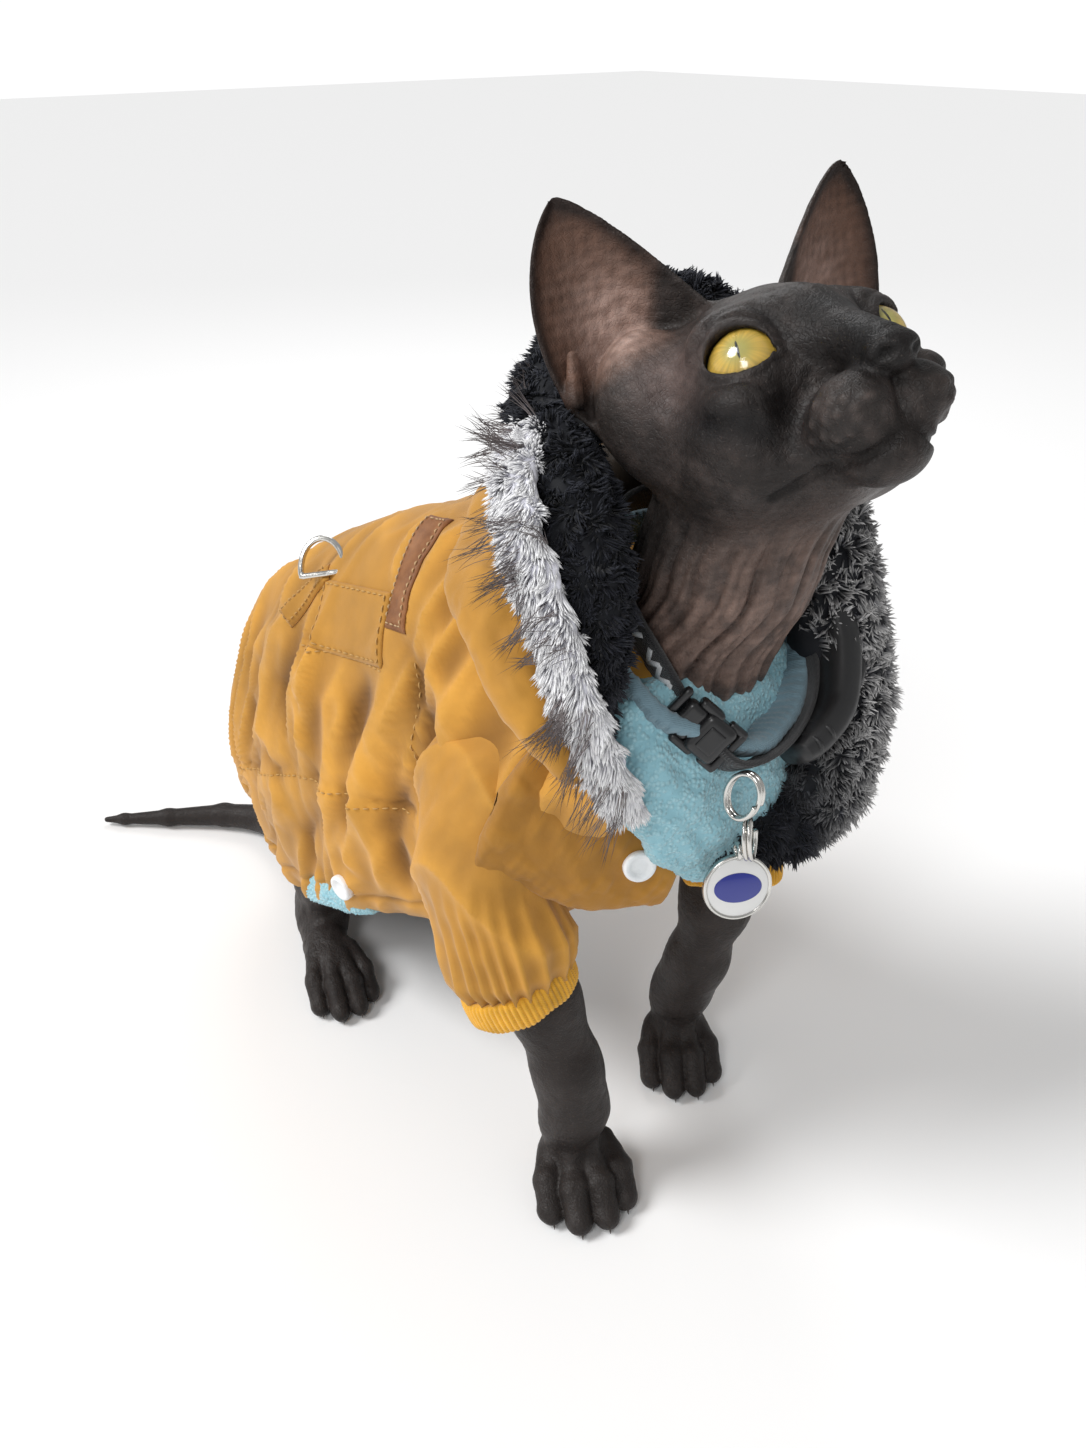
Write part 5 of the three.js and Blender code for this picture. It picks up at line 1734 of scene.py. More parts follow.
@dataclass
class Sleeve:
    """One sleeve with its crumples and its ribbed cuff."""

    side: Side
    stations: Table
    cuff_at: Triple
    cuff_aim: Triple
    cuff_radius: float
    cuff_height: float = 11.0

    def cloth(self) -> Object:
        """Makes the sleeve: folds across the elbow and gathers above the cuff."""
        t = stops(90, (-0.9, 10))
        turn = turns(130)
        last = np.array(self.stations[-1], float)
        aim = unit(self.cuff_aim)
        stations = [*self.stations[:-1], (*(last[:3] + aim * 4), last[3], last[4])]
        grid = loft(stations, t, turn, (1, 0, 0))
        out = normals(grid)
        at = np.clip(t, 0, 1)[:, None]
        a = turn[None, :]
        seed = self.side.value * 1.3
        pleats = np.abs(np.sin(a * 11 + 1.5 * np.sin(a * 3 + seed) + 1.2 * at)) ** 0.8
        gather = ramp(at, 0.55, 1.0) * (1 - pleats)
        crumple = 1 - np.abs(np.sin(at * 7.5 + 1.5 * np.sin(a + seed) + 0.7 * np.sin(2 * a + 1))) ** 0.7
        lift = 3.0 * gather - 1.2 + 4.6 * (crumple - 0.3) * np.sin(at * math.pi) ** 0.8
        lift = lift + 1.8 * ramp(at, 0.7, 0.9) - 2.6 * ramp(at, 0.93, 1.0)
        lift = lift + 0.8 * wave_noise(grid.reshape(-1, 3), 26, 40 + self.side.value).reshape(lift.shape)
        grid = grid + out * lift[..., None]
        # the grey carried as Paint is painted shade in the sleeve's folds and painted light on its ridges
        piece = grid_mesh(f"sleeve_cloth_{self.side.word}", grid, cavity(lift, 6, 0.17))
        thicken(piece, 1.4)
        return piece

    def cuff(self) -> Object:
        """Makes the ribbed band: a closed ring whose outer wall carries even ribs."""
        spot = Spot(self.cuff_at, self.cuff_aim, (1, 0, 0))
        sides, steps = 384, 36
        turn, section = turns(sides), turns(steps)
        half_tall = self.cuff_height / 2 * squared(section, 0.6)[0]
        half_wide = 2.1 * squared(section, 0.7)[1]
        rib = np.abs(np.sin(turn * 32)) ** 0.7
        waver = 0.5 * np.sin(turn * 5 + 1) + 0.35 * np.sin(turn * 9)
        ribs = (0.95 * rib[:, None] - 0.4) * (half_wide > 0)[None] * 0.9
        r = self.cuff_radius - 2.2 + half_wide[None] + ribs
        tall = half_tall[None] * (1 + 0.03 * waver[:, None]) + 0.5 * waver[:, None]
        local = np.stack([r * np.cos(turn)[:, None], r * np.sin(turn)[:, None], tall], -1)
        points = spot.place(local.reshape(-1, 3))
        faces = grid_faces(sides, steps, wrap_rows=True)
        return make_mesh(f"cuff_knit_{self.side.word}", points, faces)


SLEEVES = (
    Sleeve(
        Side.RIGHT,
        (
            (-26, -92, 184, 9, 22), (-35, -94, 158, 20, 29), (-42, -102, 130, 22, 26),
            (-41, -113, 98, 19.5, 21),
        ),
        (-39.8, -115.5, 92.0), (0.24, -0.42, -1),
        20.5,
    ),
    Sleeve(
        Side.LEFT,
        ((44, -96, 186, 9, 22), (54, -98, 164, 20, 32), (59, -112, 140, 21.5, 27), (52, -127, 116, 18, 20)),
        (51, -130, 107), (-0.25, -0.35, -1),
        18.5,
    ),
)

HOOD_HUB = np.array([13.0, -140.0, 235.0])


@dataclass
class Hood:
    """The open hood: its cloth, its plush roll and the white fur along its edge."""

    cloth_line: Table = (
        (64, -126, 194, 8, 14), (68, -112, 220, 11, 18), (60, -96, 242, 12, 19), (44, -84, 250, 12, 19),
        (22, -78, 249, 13, 19), (0, -80, 246, 13, 18), (-18, -92, 240, 13, 19), (-33, -105, 236, 12, 19),
        (-42, -119, 229, 10, 16), (-46, -133, 214, 8, 12), (-40, -145, 195, 6, 9),
    )
    plush_line: Table = (
        (-18, -106, 281, 13, 13), (-28, -124, 269, 13.5, 14), (-32, -137, 251, 13.5, 13),
        (-35, -144, 229, 9.5, 11.5), (-37, -147, 208, 4.5, 6), (-28, -149, 184, 3, 4),
        (3, -157, 157, 8, 8), (34, -166, 155, 14, 12), (49, -168, 170, 17, 14), (57, -163, 192, 19, 14),
        (60, -154, 216, 20, 14), (61, -141, 245, 20, 14), (58, -124, 274, 17, 14),
        (50, -106, 296, 14, 14), (32, -97, 304, 13, 14), (10, -95, 298, 13, 14), (-6, -98, 289, 13, 13),
    )
    edge_line: Table = (
        (66, -148, 196, 6, 8), (76, -136, 222, 8, 10), (72, -122, 250, 8, 10), (62, -113, 270, 8, 10),
        (44, -103, 282, 8, 11), (24, -98, 283, 8, 11), (4, -98, 282, 8, 11), (-14, -102, 280, 8, 10),
        (-30, -110, 280, 6.5, 9), (-42, -120, 275, 6, 9), (-49, -131, 262, 5.5, 9),
        (-49.5, -143, 243, 5.5, 9), (-46, -150, 220, 6, 9.5), (-39, -154, 198, 6.5, 9),
        (-33, -158, 184, 6, 7.5),
    )

    def cloth(self) -> Object:
        """Makes the hood's outer cloth, with folds along it."""
        grid = loft(self.cloth_line, stops(160, (-0.95, 14), (1.95, 14)), turns(80), (0, 0, 1))
        flat = grid.reshape(-1, 3)
        lift = 1.4 * wave_noise(flat, 34, 61) + 0.9 * np.abs(wave_noise(flat * [1, 1, 0.6], 15, 62))
        grid = grid + normals(grid) * lift.reshape(grid.shape[:2])[..., None]
        # painted shade in the hood's folds and painted light on its ridges, as a grey
        paint = cavity(lift.reshape(grid.shape[:2]), 5, 0.12)
        # the side that faces the neck is painted nearly black
        middle = grid.mean(1, keepdims=True)
        inward = HOOD_HUB - middle
        inward /= np.linalg.norm(inward, axis=2, keepdims=True)
        toward = ((grid - middle) * inward).sum(2) / 12
        paint = paint * (1 - 0.97 * ramp(toward, 0.0, 0.3)).reshape(-1, 1)
        return grid_mesh("hood_outer_cloth", grid, paint)

    def roll(
        self, line: Rows, closed: bool, t: Array, angle: Array, inset: float
    ) -> tuple[Points, Points, Points]:
        """Points on a fur roll.

        Args:
            line: the roll's stations, with half sizes away from the hub and beside it.
            closed: whether the roll is a loop.
            t: place along the roll, one for each point.
            angle: place round it, from the line away from the hub.
            inset: how far the points lie under the roll's surface, in mm.

        Returns:
            The points, the outward directions and the directions along the roll.
        """
        at = curve(line, t, closed)
        near = ((t + k) % 1.0 if closed else np.clip(t + k, 0, 1) for k in (0.003, -0.003))
        ahead, behind = (curve(line, place, closed) for place in near)
        step = ahead - behind
        way = step[:, :3] / np.linalg.norm(step[:, :3], axis=1, keepdims=True)
        away = at[:, :3] - HOOD_HUB
        away -= (away * way).sum(1, keepdims=True) * way
        away /= np.linalg.norm(away, axis=1, keepdims=True)
        beside = np.cross(way, away)
        c, s = np.cos(angle)[:, None], np.sin(angle)[:, None]
        a, b = at[:, 3:4] - inset, at[:, 4:5] - inset
        points = at[:, :3] + away * a * c + beside * b * s
        out = away * c * b + beside * s * a
        return points, out / np.linalg.norm(out, axis=1, keepdims=True), way

    def base(
        self, name: str, line: Rows, closed: bool, inset: float, colour: Sequence[float]
    ) -> Object:
        """Makes the backing that the tufts grow from."""
        n, sides = 300, 40
        t = np.repeat(np.linspace(0, 1, n, endpoint=not closed), sides)
        angle = np.tile(turns(sides), n)
        points, out, _ = self.roll(line, closed, t, angle, inset)
        points = points + out * (0.9 * wave_noise(points, 9, 77))[:, None]
        faces = [grid_faces(n, sides, wrap_rows=closed)]
        if not closed:
            faces += [np.arange(sides)[None, ::-1], np.arange(sides)[None, :] + (n - 1) * sides]
        a, b, c = (points[faces[0][:, k]] for k in range(3))
        if (out[faces[0][:, 0]] * np.cross(b - a, c - a)).sum() < 0:
            faces = [f[:, ::-1] for f in faces]
        uv = np.stack([t, angle / (2 * math.pi)], 1)
        shade = 1 + 0.25 * wave_noise(points, 6, 78)
        return make_mesh(name, points, faces, np.asarray(colour) * shade[:, None], uv)


@dataclass
class Tufts:
    """Many short locks of fur as solid, tapered and bent spikes."""

    sides: int = 3
    levels: int = 2
    piece_faces: int = 180000
    # how far up a lock its last ring lies, and half the size of its place on the OFBake map
    taper_from: float = 0.78
    patch: float = 0.0015

    def grow(
        self,
        name: str,
        roots: Points,
        way: Points,
        bend: Points,
        length: Array,
        width: Array,
        root_colour: Array,
        tip_colour: Array,
        tip_from: float,
        uv: Array,
    ) -> list[Object]:
        """Makes the locks, in pieces of a limited size.

        Args:
            name: start of the pieces' names.
            roots: where each lock grows, in mm.
            way: which way it leaves.
            bend: how its tip is carried off, as a share of its length.
            length: its length, in mm.
            width: its half width at the root, in mm.
            root_colour: colour at the root, one for each lock.
            tip_colour: colour at the tip.
            tip_from: how far along the lock the tip's colour starts.
            uv: the root's place on the OFBake map.

        Returns:
            The pieces.
        """
        per_lock = self.sides * 2 * (self.levels - 1) + self.sides + self.sides - 2
        n = len(roots)
        pieces = []
        count = max(1, math.ceil(n / (self.piece_faces // per_lock)))
        for k, index in enumerate(np.array_split(np.arange(n), count)):
            m = len(index)
            side = np.cross(way[index], np.array([0.31, 0.22, 0.92]))
            side /= np.maximum(np.linalg.norm(side, axis=1, keepdims=True), 1e-6)
            up = np.cross(side, way[index])
            points, colours, places = [], [], []
            for level in np.linspace(0, self.taper_from, self.levels):
                reach = way[index] * level + bend[index] * level**2
                middle = roots[index] + reach * length[index, None]
                wide = width[index] * (1 - 0.62 * level**1.4)
                tint = np.clip((level - tip_from) / max(1 - tip_from, 0.01), 0, 1)
                for j in range(self.sides):
                    angle = 2 * math.pi * j / self.sides + index * 1.7
                    ringed = side * np.cos(angle)[:, None] + up * np.sin(angle)[:, None]
                    points.append(middle + ringed * wide[:, None])
                    colours.append(root_colour[index] * (1 - tint) + tip_colour[index] * tint)
                    places.append(uv[index] + self.patch * np.array([math.cos(2.1 * j), level + 0.2 * j]))
            points.append(roots[index] + (way[index] + bend[index]) * length[index, None])
            colours.append(tip_colour[index])
            places.append(uv[index] + [0.0, self.patch])
            total = len(points)
            rows = (points, colours, places)
            points, colours, places = (np.stack(x, 1).reshape(m * total, -1) for x in rows)
            # one lock's faces: its sides, its tip and its foot
            quads = grid_faces(self.levels, self.sides)
            ring = np.arange(self.sides)
            top = (self.levels - 1) * self.sides
            tris = np.stack([top + ring, top + (ring + 1) % self.sides, np.full(self.sides, total - 1)], 1)
            start = (np.arange(m) * total)[:, None, None]
            faces = [(f + start).reshape(-1, f.shape[-1]) for f in (quads, tris, ring[None, ::-1])]
            pieces.append(make_mesh(f"{name}_{k + 1}", points, faces, colours=colours, uv=places))
        return pieces


@dataclass
class HoodFur:
    """Grows the plush and the white edge of the hood."""

    hood: Hood
    head: HeadShape
    body: BodyShape
    plush_locks: int = 49500
    edge_locks: int = 19000
    wisps: int = 127
    wisp_hairs: int = 9
    lock_length: float = 3.8
    plush_width: float = 0.46
    edge_width: float = 0.42
    hair_width: float = 0.14

    def clear(self, p: Points) -> Array:
        """Distance of points from the cat's head and neck and from the collar."""
        strap = [(*row, 6.0) for row in Collar.line] + [(*Collar.line[0], 6.0)]
        flesh = np.minimum(self.head.skull(self.head.local(p)), chain(p, self.body.neck, 8))
        return np.minimum(flesh, chain(p, strap))

    def plush(self, palette: Palette) -> None:
        """Grey pile: dark at the root, paler at the tip and on the cat's left."""
        rng = np.random.default_rng(7)
        n = self.plush_locks
        t, angle = rng.random(n), rng.random(n) * 2 * math.pi
        roots, out, _ = self.hood.roll(self.hood.plush_line, True, t, angle, 2.2)
        free = self.clear(roots) > 1.0
        roots, out, t, angle = (x[free] for x in (roots, out, t, angle))
        n = len(roots)
        swirl = np.stack([wave_noise(roots, 15, s, 2) for s in (1, 2, 3)], 1)
        clumps = np.stack([wave_noise(roots, 7, s, 2) for s in (4, 5, 6)], 1)
        way = 0.8 * out + 0.25 * np.array([0, 0, -1.0]) + 0.55 * swirl + 0.8 * clumps
        way = way + 0.10 * rng.normal(size=(n, 3))
        way -= np.minimum((way * out).sum(1) - 0.35, 0)[:, None] * out
        way /= np.linalg.norm(way, axis=1, keepdims=True)
        bend = 0.28 * np.array([0, 0, -1.0]) + 0.4 * clumps + 0.05 * rng.normal(size=(n, 3))
        length = self.lock_length * (0.75 + 0.4 * rng.random(n))
        tips = roots + (way + bend) * length[:, None]
        length *= np.clip(self.clear(tips) / 3.0, 0.25, 1)
        pale = ramp(roots[:, 0], 28, 58) * ramp(-roots[:, 2], -300, -262)
        shade = (0.75 + 0.5 * rng.random(n)) * (1 + 0.35 * clumps[:, 0])
        root_colour = np.array([0.006, 0.0065, 0.009]) * (1 + 5 * pale)[:, None] * shade[:, None]
        grey, white = np.array([0.024, 0.026, 0.035]), np.array([0.68, 0.67, 0.66])
        tip_colour = (grey * (1 - pale)[:, None] + white * pale[:, None]) * shade[:, None]
        uv = np.stack([t, angle / (2 * math.pi)], 1)
        base = self.hood.base("plush_backing", self.hood.plush_line, True, 1.8, (0.010, 0.011, 0.014))
        keep(base, palette.fur("Plush backing"), ["hood_plush"])
        material = palette.fur("Grey plush")
        width = self.plush_width * (0.8 + 0.5 * rng.random(n))
        locks = (roots, way, bend, length, width, root_colour, tip_colour)
        for piece in Tufts().grow("plush_pile", *locks, 0.25, uv):
            keep(piece, material)

    def edge(self, palette: Palette) -> None:
        """White fur with long, dark-tipped hairs along the outside."""
        rng = np.random.default_rng(11)
        n = self.edge_locks
        t, angle = rng.random(n), (rng.random(n) - 0.5) * 2 * math.pi
        roots, out, along_roll = self.hood.roll(self.hood.edge_line, False, t, angle, 2.4)
        free = self.clear(roots) > 1.0
        roots, out, along_roll, t, angle = (x[free] for x in (roots, out, along_roll, t, angle))
        n = len(roots)
        clumps = np.stack([wave_noise(roots, 8, s, 2) for s in (14, 15, 16)], 1)
        away = roots - HOOD_HUB
        away /= np.linalg.norm(away, axis=1, keepdims=True)
        way = out * 0.40 + 0.30 * away + 0.55 * along_roll * np.sign(t - 0.4)[:, None] + 0.35 * clumps
        way /= np.linalg.norm(way, axis=1, keepdims=True)
        bend = 0.2 * away + 0.3 * np.array([0, 0, -1.0]) + 0.25 * clumps
        length = self.lock_length * (0.7 + 0.5 * rng.random(n))
        shade = (0.88 + 0.12 * rng.random(n))[:, None]
        root_colour = np.array([0.93, 0.93, 0.98]) * shade
        tip_colour = np.array([1.0, 1.0, 1.0]) * shade
        uv = np.stack([t, angle / (2 * math.pi) % 1.0], 1)
        base = self.hood.base("edge_backing", self.hood.edge_line, False, 2.0, (0.78, 0.78, 0.85))
        keep(base, palette.fur("Edge backing"), ["hood_fur_edge"])
        material = palette.fur("White fur")
        width = self.edge_width * (0.8 + 0.5 * rng.random(n))
        locks = (roots, way, bend, length, width, root_colour, tip_colour)
        for piece in Tufts().grow("edge_fur", *locks, 0.1, uv):
            keep(piece, material)
        # long hairs stand in wisps: each wisp's hairs meet near one tip
        wisps, each = self.wisps, self.wisp_hairs
        n = wisps * each
        at, turn = rng.random(wisps), rng.normal(size=wisps) * 0.75 + 0.1
        middle, out, _ = self.hood.roll(self.hood.edge_line, False, at, turn, 1.0)
        away = middle - HOOD_HUB
        away /= np.linalg.norm(away, axis=1, keepdims=True)
        aim = 0.3 * out + 0.9 * away + 0.25 * rng.normal(size=(wisps, 3)) + [0, 0, -0.35]
        aim /= np.linalg.norm(aim, axis=1, keepdims=True)
        tips = middle + aim * (8 + 7 * rng.random((wisps, 1)))
        t = np.clip(np.repeat(at, each) + 0.006 * rng.normal(size=n), 0, 1)
        angle = np.repeat(turn, each) + 0.22 * rng.normal(size=n)
        roots, _, _ = self.hood.roll(self.hood.edge_line, False, t, angle, 1.5)
        way = np.repeat(tips, each, 0) + 1.1 * rng.normal(size=(n, 3)) - roots
        length = np.linalg.norm(way, axis=1)
        way /= length[:, None]
        bend = 0.10 * rng.normal(size=(n, 3)) + [0, 0, -0.12]
        white = np.tile([0.30, 0.26, 0.26], (n, 1))
        dark = np.tile([0.022, 0.016, 0.014], (n, 1))
        uv = np.stack([t, angle / (2 * math.pi) % 1.0], 1)
        hairs = (roots, way, bend, length, np.full(n, self.hair_width), white, dark)
        for piece in Tufts(levels=5).grow("edge_guard_hair", *hairs, 0.05, uv):
            keep(piece, material)


# Shirt, collar and hardware

MUSTARD = (0.50, 0.240, 0.034)
# Half sections of the turned pieces, as radius and height in mm
TRACKER_DISC = ((0, 1.8), (6.2, 1.8), (7.4, 1.2), (8.2, 1.5), (9.2, 1.2), (9.8, 0.2), (9.6, -2.0), (0, -2.0))
TAG_RIM = (
    (0, -1.1), (10.2, -1.1), (11.0, -0.6), (11.0, 0.7), (10.7, 1.15), (10.1, 1.15), (9.8, 0.6), (0, 0.6),
)
TAG_FACE = ((0, 0.4), (9.75, 0.4), (9.75, 0.86), (9.5, 0.95), (0, 0.95))
TAG_OVAL = ((0, 0.8), (7.6, 0.8), (7.6, 1.1), (7.4, 1.16), (0, 1.16))
SNAP = (
    (0, 1.0), (2.2, 1.0), (3.0, 1.25), (3.7, 1.9), (4.5, 2.2), (5.2, 1.9), (5.5, 1.2), (5.4, -1.5),
    (0, -1.5),
)


@dataclass
class Shirt:
    """The knitted neckband, the terry bib below it and the terry hem under the coat."""

    band: Table = (
        (14, -163, 191), (-12, -155, 201), (-21, -129, 221), (-2, -106, 232), (26, -102, 234),
        (47, -124, 222), (40, -150, 202),
    )
    bib: Table = (
        (7, -145, 206, 37, 12), (7, -152, 186, 38, 12.5), (10, -156, 164, 30, 11), (13, -154, 148, 19, 9),
    )
    hem: Table = ((-41, -24, 75, 4, 6.5), (-43, -4, 67, 4, 6.5), (-42, 20, 57, 4, 6))

    def neckband(self) -> Object:
        """Makes the ribbed band round the neck."""
        n, sides = 420, 40
        t = np.arange(n) / n
        path = curve(self.band, t, True)
        away = path - HOOD_HUB
        points, faces = tube(path, 3.2, 10.5, away, sides, True, 0.62)
        grid = points.reshape(n, sides, 3)
        rib = np.abs(np.sin(t * math.pi * 74))[:, None] ** 0.6
        outward = (away / np.linalg.norm(away, axis=1, keepdims=True))[:, None]
        wave = 0.9 * np.sin(t * 2 * math.pi * 7)[:, None] + 0.5 * np.sin(t * 2 * math.pi * 13)[:, None]
        grid = grid + outward * (0.65 * rib + 0.6 * wave)[..., None]
        return make_mesh("neckband_knit", grid.reshape(-1, 3), faces)

    def terry(self, name: str, stations: Rows, seed: int) -> Object:
        """Makes a piece of looped towelling."""
        grid = loft(stations, stops(110, (-0.9, 14), (1.9, 14)), turns(170), (1, 0, 0), 0.8)
        flat = grid.reshape(-1, 3)
        lift = 1.3 * wave_noise(flat, 18, seed) + 0.55 * np.abs(wave_noise(flat, 2.6, seed + 1, 2))
        grid = grid + normals(grid) * lift.reshape(grid.shape[:2])[..., None]
        return grid_mesh(name, grid)

    def build(self, palette: Palette) -> None:
        """Makes and dresses the shirt."""
        knit = palette.knit("Neckband knit", (0.20, 0.31, 0.37))
        keep(self.neckband(), knit, ["shirt_neckband"])
        terry = palette.terry()
        keep(self.terry("bib_terry", self.bib, 71), terry, ["shirt_bib"])
        keep(self.terry("hem_terry", self.hem, 75), terry, ["shirt_hem"])


@dataclass
class Collar:
    """The webbing strap, its buckle, the rubber tracker, the rings and the tag."""

    line: Table = (
        (-2, -170, 191), (18, -171, 191), (38, -163, 200), (49, -147, 218), (46, -128, 238),
        (29, -114, 251), (8, -111, 253), (-8, -120, 246), (-13, -134, 233), (-12, -146, 220),
        (-9, -159, 204),
    )
    tracker_line: Table = (
        (22, -174, 187, 3.6, 7), (30, -173, 190, 5.2, 9.5), (42, -169, 196, 5.8, 11),
        (52, -160, 210, 5.8, 11), (54.5, -151, 222, 5, 9), (54, -144, 231, 3.0, 6.5),
    )
    tag_spot: Spot = Spot((-1, -175, 149), (-0.5, -0.82, 0.18))
    buckle_spot: Spot = Spot((-9.5, -163.5, 203), (-0.66, -0.74, 0.14), (0.62, -0.42, -0.66))

    def strap(self) -> Solid:
        """The webbing, a flat loop."""
        path = curve(self.line, np.arange(260) / 260, True)
        return tube(path, 1.15, 5.5, path - HOOD_HUB, 20, True, 0.4)

    def marks(self) -> Solid:
        """Pale stitched marks on the strap: short bars that lean one way and the other."""
        parts = []
        for k, t in enumerate(np.linspace(0.695, 0.86, 14)):
            if k in (7, 8):
                continue
            at, ahead = curve(self.line, np.array([t, t + 0.005]), True)
            way = unit(ahead - at)
            out = at - HOOD_HUB
            out = unit(out - (out @ way) * way)
            up = np.cross(way, out)
            lean = 0.55 if k % 2 else -0.55
            middle = at + out * 1.25
            ends = [middle + (up + way * lean) * s for s in (-2.7, 0.0, 2.7)]
            parts.append(tube(np.array(ends), 0.30, 0.95, out, 10, False, 0.7))
        return merged(parts)

    def tracker(self) -> Solid:
        """The rubber sleeve that holds the round tracker, with its raised lip."""
        t = np.linspace(0, 1, 90)
        at = curve(self.tracker_line, t)
        out = at[:, :3] - HOOD_HUB
        parts = [tube(at[:, :3], at[:, 3], at[:, 4], out, 40, False, 0.62)]
        half = len(t) // 2
        side = unit(out[half])
        middle = at[half, :3] + side * 5.2
        spot = Spot(tuple(middle), tuple(side), tuple(unit(along(at[:, :3])[half])))
        disc, faces = turned(TRACKER_DISC, 64)
        parts.append((spot.place(disc), faces))
        angle = turns(40)[:, None]
        for place in (0.10, 0.20, 0.80, 0.90):
            here, ahead = curve(self.tracker_line, np.array([place, place + 0.01]))
            way = unit(ahead[:3] - here[:3])
            away = unit(here[:3] - HOOD_HUB)
            high = np.cross(way, away) * (here[4] + 0.1)
            loop = here[:3] + away * (here[3] + 0.1) * np.cos(angle) + high * np.sin(angle)
            parts.append(tube(loop, 0.8, 0.8, way, 10, True))
        return merged(parts)

    def buckle(self) -> Solid:
        """A side-release buckle: body, prongs, slot bars and the two catches."""
        spot = self.buckle_spot
        parts = []
        for at, size, edge in (
            ((0, 3.0, 0.4), (13.5, 11, 7.2), 2.2),
            ((0, -5.6, 0.4), (11.5, 7.0, 5.4), 1.8),
            ((0, 10.2, 0.0), (15, 2.6, 3.4), 1.1),
            ((0, -11.0, 0.0), (15, 2.6, 3.4), 1.1),
            ((6.8, -2.2, 0.4), (2.8, 8.6, 4.6), 1.2),
            ((-6.8, -2.2, 0.4), (2.8, 8.6, 4.6), 1.2),
            ((6.9, 8.0, 0.0), (2.4, 6.5, 3.2), 1.0),
            ((-6.9, 8.0, 0.0), (2.4, 6.5, 3.2), 1.0),
            ((0, 3.0, 4.1), (7.5, 5.5, 0.8), 0.35),
        ):
            box, faces = rounded_box(size, edge)
            parts.append((spot.place(box + at), faces))
        return merged(parts)

    def tag(self) -> list[tuple[str, str, Solid]]:
        """The tag's silver rim, white face and plain blue oval."""
        out = []
        for name, kind, profile, squash in (
            ("tag_rim", "steel", TAG_RIM, 1),
            ("tag_face", "enamel", TAG_FACE, 1),
            ("tag_oval", "blue", TAG_OVAL, 0.66),
        ):
            points, faces = turned(profile, 96)
            points = points * [1, squash, 1]
            out.append((name, kind, (self.tag_spot.place(points), faces)))
        eye, faces = torus(2.3, 0.75)
        eye = eye[:, [2, 0, 1]]
        out.append(("tag_eye", "steel", (self.tag_spot.place(eye + [0, 12.0, 0]), faces)))
        return out

    def rings(self) -> Solid:
        """The split ring on the strap and the small one that carries the tag."""
        parts = []
        for at, out, up, radius, wire, stretch, rounds in (
            ((-1, -175.2, 183.0), (-0.90, -0.10, 0.15), (0.1, -0.2, 1), 5.4, 0.8, 1.35, 2.0),
            ((-1, -175.8, 167.5), (0.55, -0.8, 0.1), (0, 0, 1), 4.9, 0.75, 1.35, 2.0),
        ):
            points, faces = torus(radius, wire, stretch, rounds, wire * 2.0)
            parts.append((Spot(at, out, up).place(points), faces))
        return merged(parts)

    def build(self, palette: Palette) -> None:
        """Makes and dresses the collar."""
        keep(make_mesh("collar_webbing", *self.strap()), palette.webbing(), ["collar_strap"])
        pale = palette.thread("Pale thread", (0.72, 0.74, 0.76))
        keep(make_mesh("collar_marks", *self.marks()), pale)
        plastic = palette.plastic("Black plastic", (0.012, 0.012, 0.013), 0.32)
        keep(make_mesh("buckle_body", *self.buckle()), plastic, ["collar_buckle"])
        rubber = palette.plastic("Black rubber", (0.014, 0.014, 0.015), 0.46)
        keep(make_mesh("tracker_holder", *self.tracker()), rubber, ["collar_tracker"])
        steel = palette.steel()
        keep(make_mesh("split_rings", *self.rings()), steel, ["ring_large", "ring_small"])
        white = palette.enamel("White enamel", (0.80, 0.80, 0.79))
        blue = palette.enamel("Blue enamel", (0.006, 0.018, 0.27))
        kinds = {"steel": steel, "enamel": white, "blue": blue}
        for k, (name, kind, parts) in enumerate(self.tag()):
            keep(make_mesh(name, *parts), kinds[kind], ["tag"] if k == 0 else [])


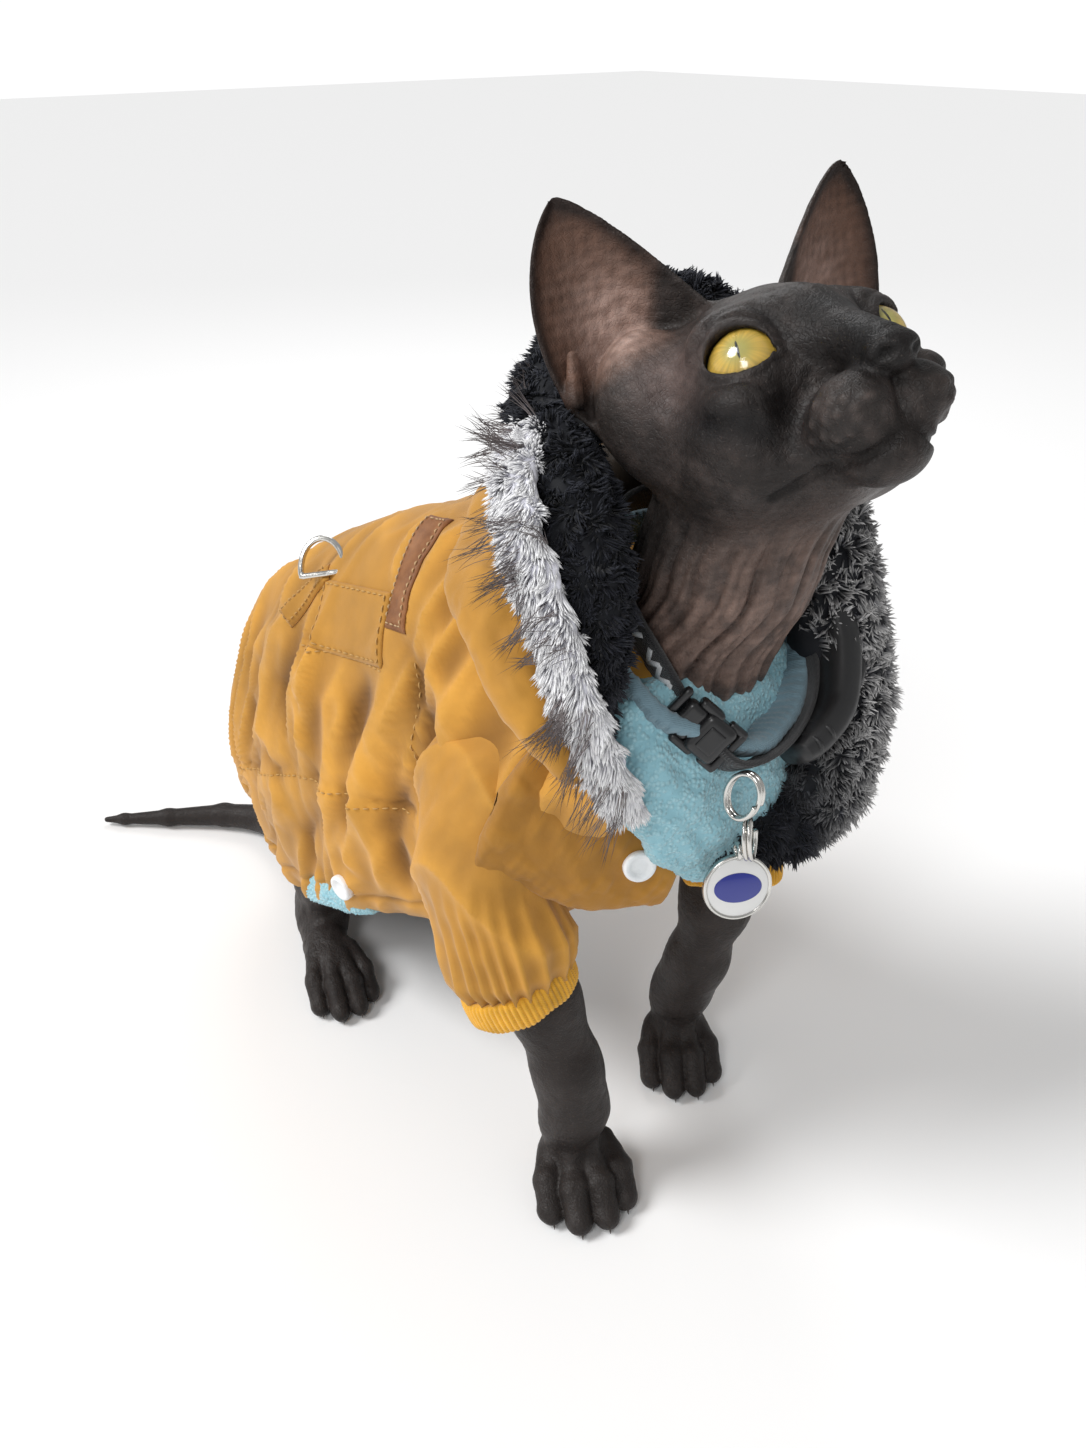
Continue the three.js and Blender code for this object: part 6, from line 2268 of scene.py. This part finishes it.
@dataclass
class Trims:
    """What is sewn or set on the coat: flaps, tab, ring, leather patch, snaps and stitching."""

    pocket: Patch = Patch(
        "pocket_cloth", Spot((-34, -17, 192), (-0.85, 0.1, 0.5), (0.02, -0.98, 0.19)), (26, 46), 1.5
    )
    label: Patch = Patch(
        "leather_patch", Spot((-25, -44, 218), (-0.78, 0.05, 0.62), (0.62, 0.12, 0.77)), (13, 42), 1.9
    )
    tab: Patch = Patch(
        "ring_tab", Spot((-32, 18, 190), (-0.86, 0.2, 0.45), (0.25, -0.58, 0.77)), (8, 31), 2.2
    )
    ring_spot: Spot = Spot((-31, 8, 204), (-0.62, -0.52, 0.58), (0.30, 0.50, 0.80))
    chest_snap: Spot = Spot((-16.7, -148, 149.3), (-0.45, -0.88, 0.1))
    hem_snap: Spot = Spot((-49, -20, 84), (-1, -0.1, -0.1))
    flap_line: Table = (
        (-46, -117, 168, 4, 25), (-24, -138, 155, 4, 25), (-2, -150, 147, 4, 18),
    )

    def front_flap(self) -> Object:
        """Makes the flap that crosses the chest under the hood."""
        t = stops(130, (-0.9, 12), (2, 24))
        grid = loft(self.flap_line, t, turns(160), (0.6, 0.8, 0), 0.7)
        flat = grid.reshape(-1, 3)
        lift = 1.3 * wave_noise(flat * [1, 1, 0.5], 26, 91) + 0.8 * np.clip(wave_noise(flat, 13, 92), 0, 1)
        lift = lift.reshape(grid.shape[:2]) * np.clip((2 - t) / 0.4, 0.1, 1)[:, None]
        grid = grid + normals(grid) * lift[..., None]
        # the grey carried as Paint is painted shade in the flap's folds and painted light on its ridges
        return grid_mesh("front_flap_cloth", grid, cavity(lift, 6, 0.2))

    def snap(self, name: str, surface: Surface, spot: Spot) -> Object:
        """Makes one snap: a dished plastic cap with a rounded rim."""
        points, faces = turned(SNAP, 64)
        return make_mesh(name, self.settled(surface, spot, 0.0).place(points), faces)

    @staticmethod
    def settled(surface: Surface, spot: Spot, lift: float) -> Spot:
        """The spot moved onto the surface, or as far over it as lift says."""
        start = np.array(spot.at) + unit(spot.out) * 25
        foot = surface.drop(start[None], -np.array(spot.out), lift)[0]
        return Spot(tuple(foot), spot.out, spot.up)

    def seam_stitches(self, coat: Surface) -> list[Solid]:
        """Stitches along the coat's seams, on both of its sides."""
        out = []
        for line in (POCKET_SEAM, GATHER_SEAM, ARM_SEAM):
            for side in Side:
                t = np.linspace(0, len(line) - 1, 120)
                y, z = (np.interp(t, np.arange(len(line)), [p[k] for p in line]) for k in (0, 1))
                flat = np.stack([np.full(120, 110.0 * side.value), y, z - 2.6], 1)
                path = coat.drop(flat, (-side.value, 0, 0), 0.15)
                smooth_run = np.abs(np.diff(path[:, 0], prepend=path[0, 0])) < 6
                out.append(stitches(path[smooth_run], (side.value, 0, 0.3)))
        return out

    def build(self, palette: Palette, coat: Object) -> None:
        """Makes and dresses everything that is set on the coat."""
        cloth = palette.cloth("Mustard cloth flaps", MUSTARD, painted=False)
        body = Surface(coat)
        thread = palette.thread("Tan thread", (0.62, 0.38, 0.14))
        pocket = keep(self.pocket.build(body), cloth, ["pocket_flap"])
        both = Surface(coat, pocket)
        keep(self.tab.build(both), cloth, ["back_tab"])
        keep(self.label.build(both), palette.leather(), ["back_label"])
        seam = stitches(self.label.border(both, 1.5, 1.95), self.label.spot.out, 1.7, 0.9, 0.3)
        pale = palette.thread("Pale tan thread", (0.66, 0.47, 0.27))
        keep(make_mesh("leather_stitches", *seam), pale)
        seams = [
            stitches(self.pocket.border(body, 1.6, 1.6), self.pocket.spot.out),
            stitches(self.tab.border(both, 1.2, 2.3), self.tab.spot.out, 1.8, 1.0),
            *self.seam_stitches(body),
        ]
        keep(make_mesh("coat_stitches", *merged(seams)), thread)
        wire = 1.15
        angle = np.linspace(0, math.pi, 40)
        bow = np.stack([8.4 * np.cos(angle), 12.0 * np.sin(angle), 0 * angle], 1)
        bar = np.stack([np.linspace(-8.2, 8.2, 24), np.full(24, -1.6), np.zeros(24)], 1)
        points, faces = tube(np.concatenate([bow, bar]), wire, wire, (0, 0, 1), 14, True)
        spot = self.settled(both, self.ring_spot, 4.2)
        keep(make_mesh("d_ring", spot.place(points), faces), palette.steel(), ["back_ring"])
        # a darker copy of the mustard cloth, as painted shade on the front flap
        darker = palette.cloth("Mustard cloth front in painted shade", (0.37, 0.168, 0.018))
        front = Surface(keep(self.front_flap(), darker, ["coat_flap"]))
        white = palette.plastic("White plastic", (0.82, 0.83, 0.84), 0.28)
        keep(self.snap("chest_snap", front, self.chest_snap), white, ["snap_chest"])
        keep(self.snap("hem_snap", body, self.hem_snap), white, ["snap_hem"])


def dress(palette: Palette, head: HeadShape, body: BodyShape) -> None:
    """Puts every garment on the cat."""
    cloth = palette.cloth("Mustard cloth", MUSTARD)
    coat = keep(Coat().build(), cloth, ["coat_body"])
    knit = palette.knit("Mustard rib knit", (0.86, 0.45, 0.045))
    for sleeve in SLEEVES:
        word = sleeve.side.word
        keep(sleeve.cloth(), cloth, [f"sleeve_{word}"])
        keep(sleeve.cuff(), knit, [f"cuff_{word}"])
    hood = Hood()
    keep(hood.cloth(), cloth, ["hood_cloth"])
    fur = HoodFur(hood, head, body)
    fur.plush(palette)
    fur.edge(palette)
    Shirt().build(palette)
    Collar().build(palette)
    Trims().build(palette, coat)


def main() -> None:
    """Builds the studio, the cat and its clothes, and reports each piece."""
    logging.basicConfig(level=logging.INFO, format="%(message)s")
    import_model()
    Studio().build()
    palette = Palette(Effects())
    head = HeadShape()
    skin = Skin(head, BodyShape()).build()
    flesh = ["head", "ear_left", "ear_right", "neck", "torso", "tail_root", "tail_tip"]
    for side in Side:
        flesh += [f"{limb}_{side.word}" for limb in ("foreleg", "hindleg", "forepaw", "hindpaw")]
    keep(skin, palette.skin(), flesh)
    for side in Side:
        Eye(head, side).build(palette)
    horn = palette.plastic("Dark claw horn", (0.045, 0.036, 0.032), 0.34)
    for paw in PAWS:
        keep(paw.claws(), horn)
    dress(palette, head, BodyShape())


if __name__ == "__main__":
    main()
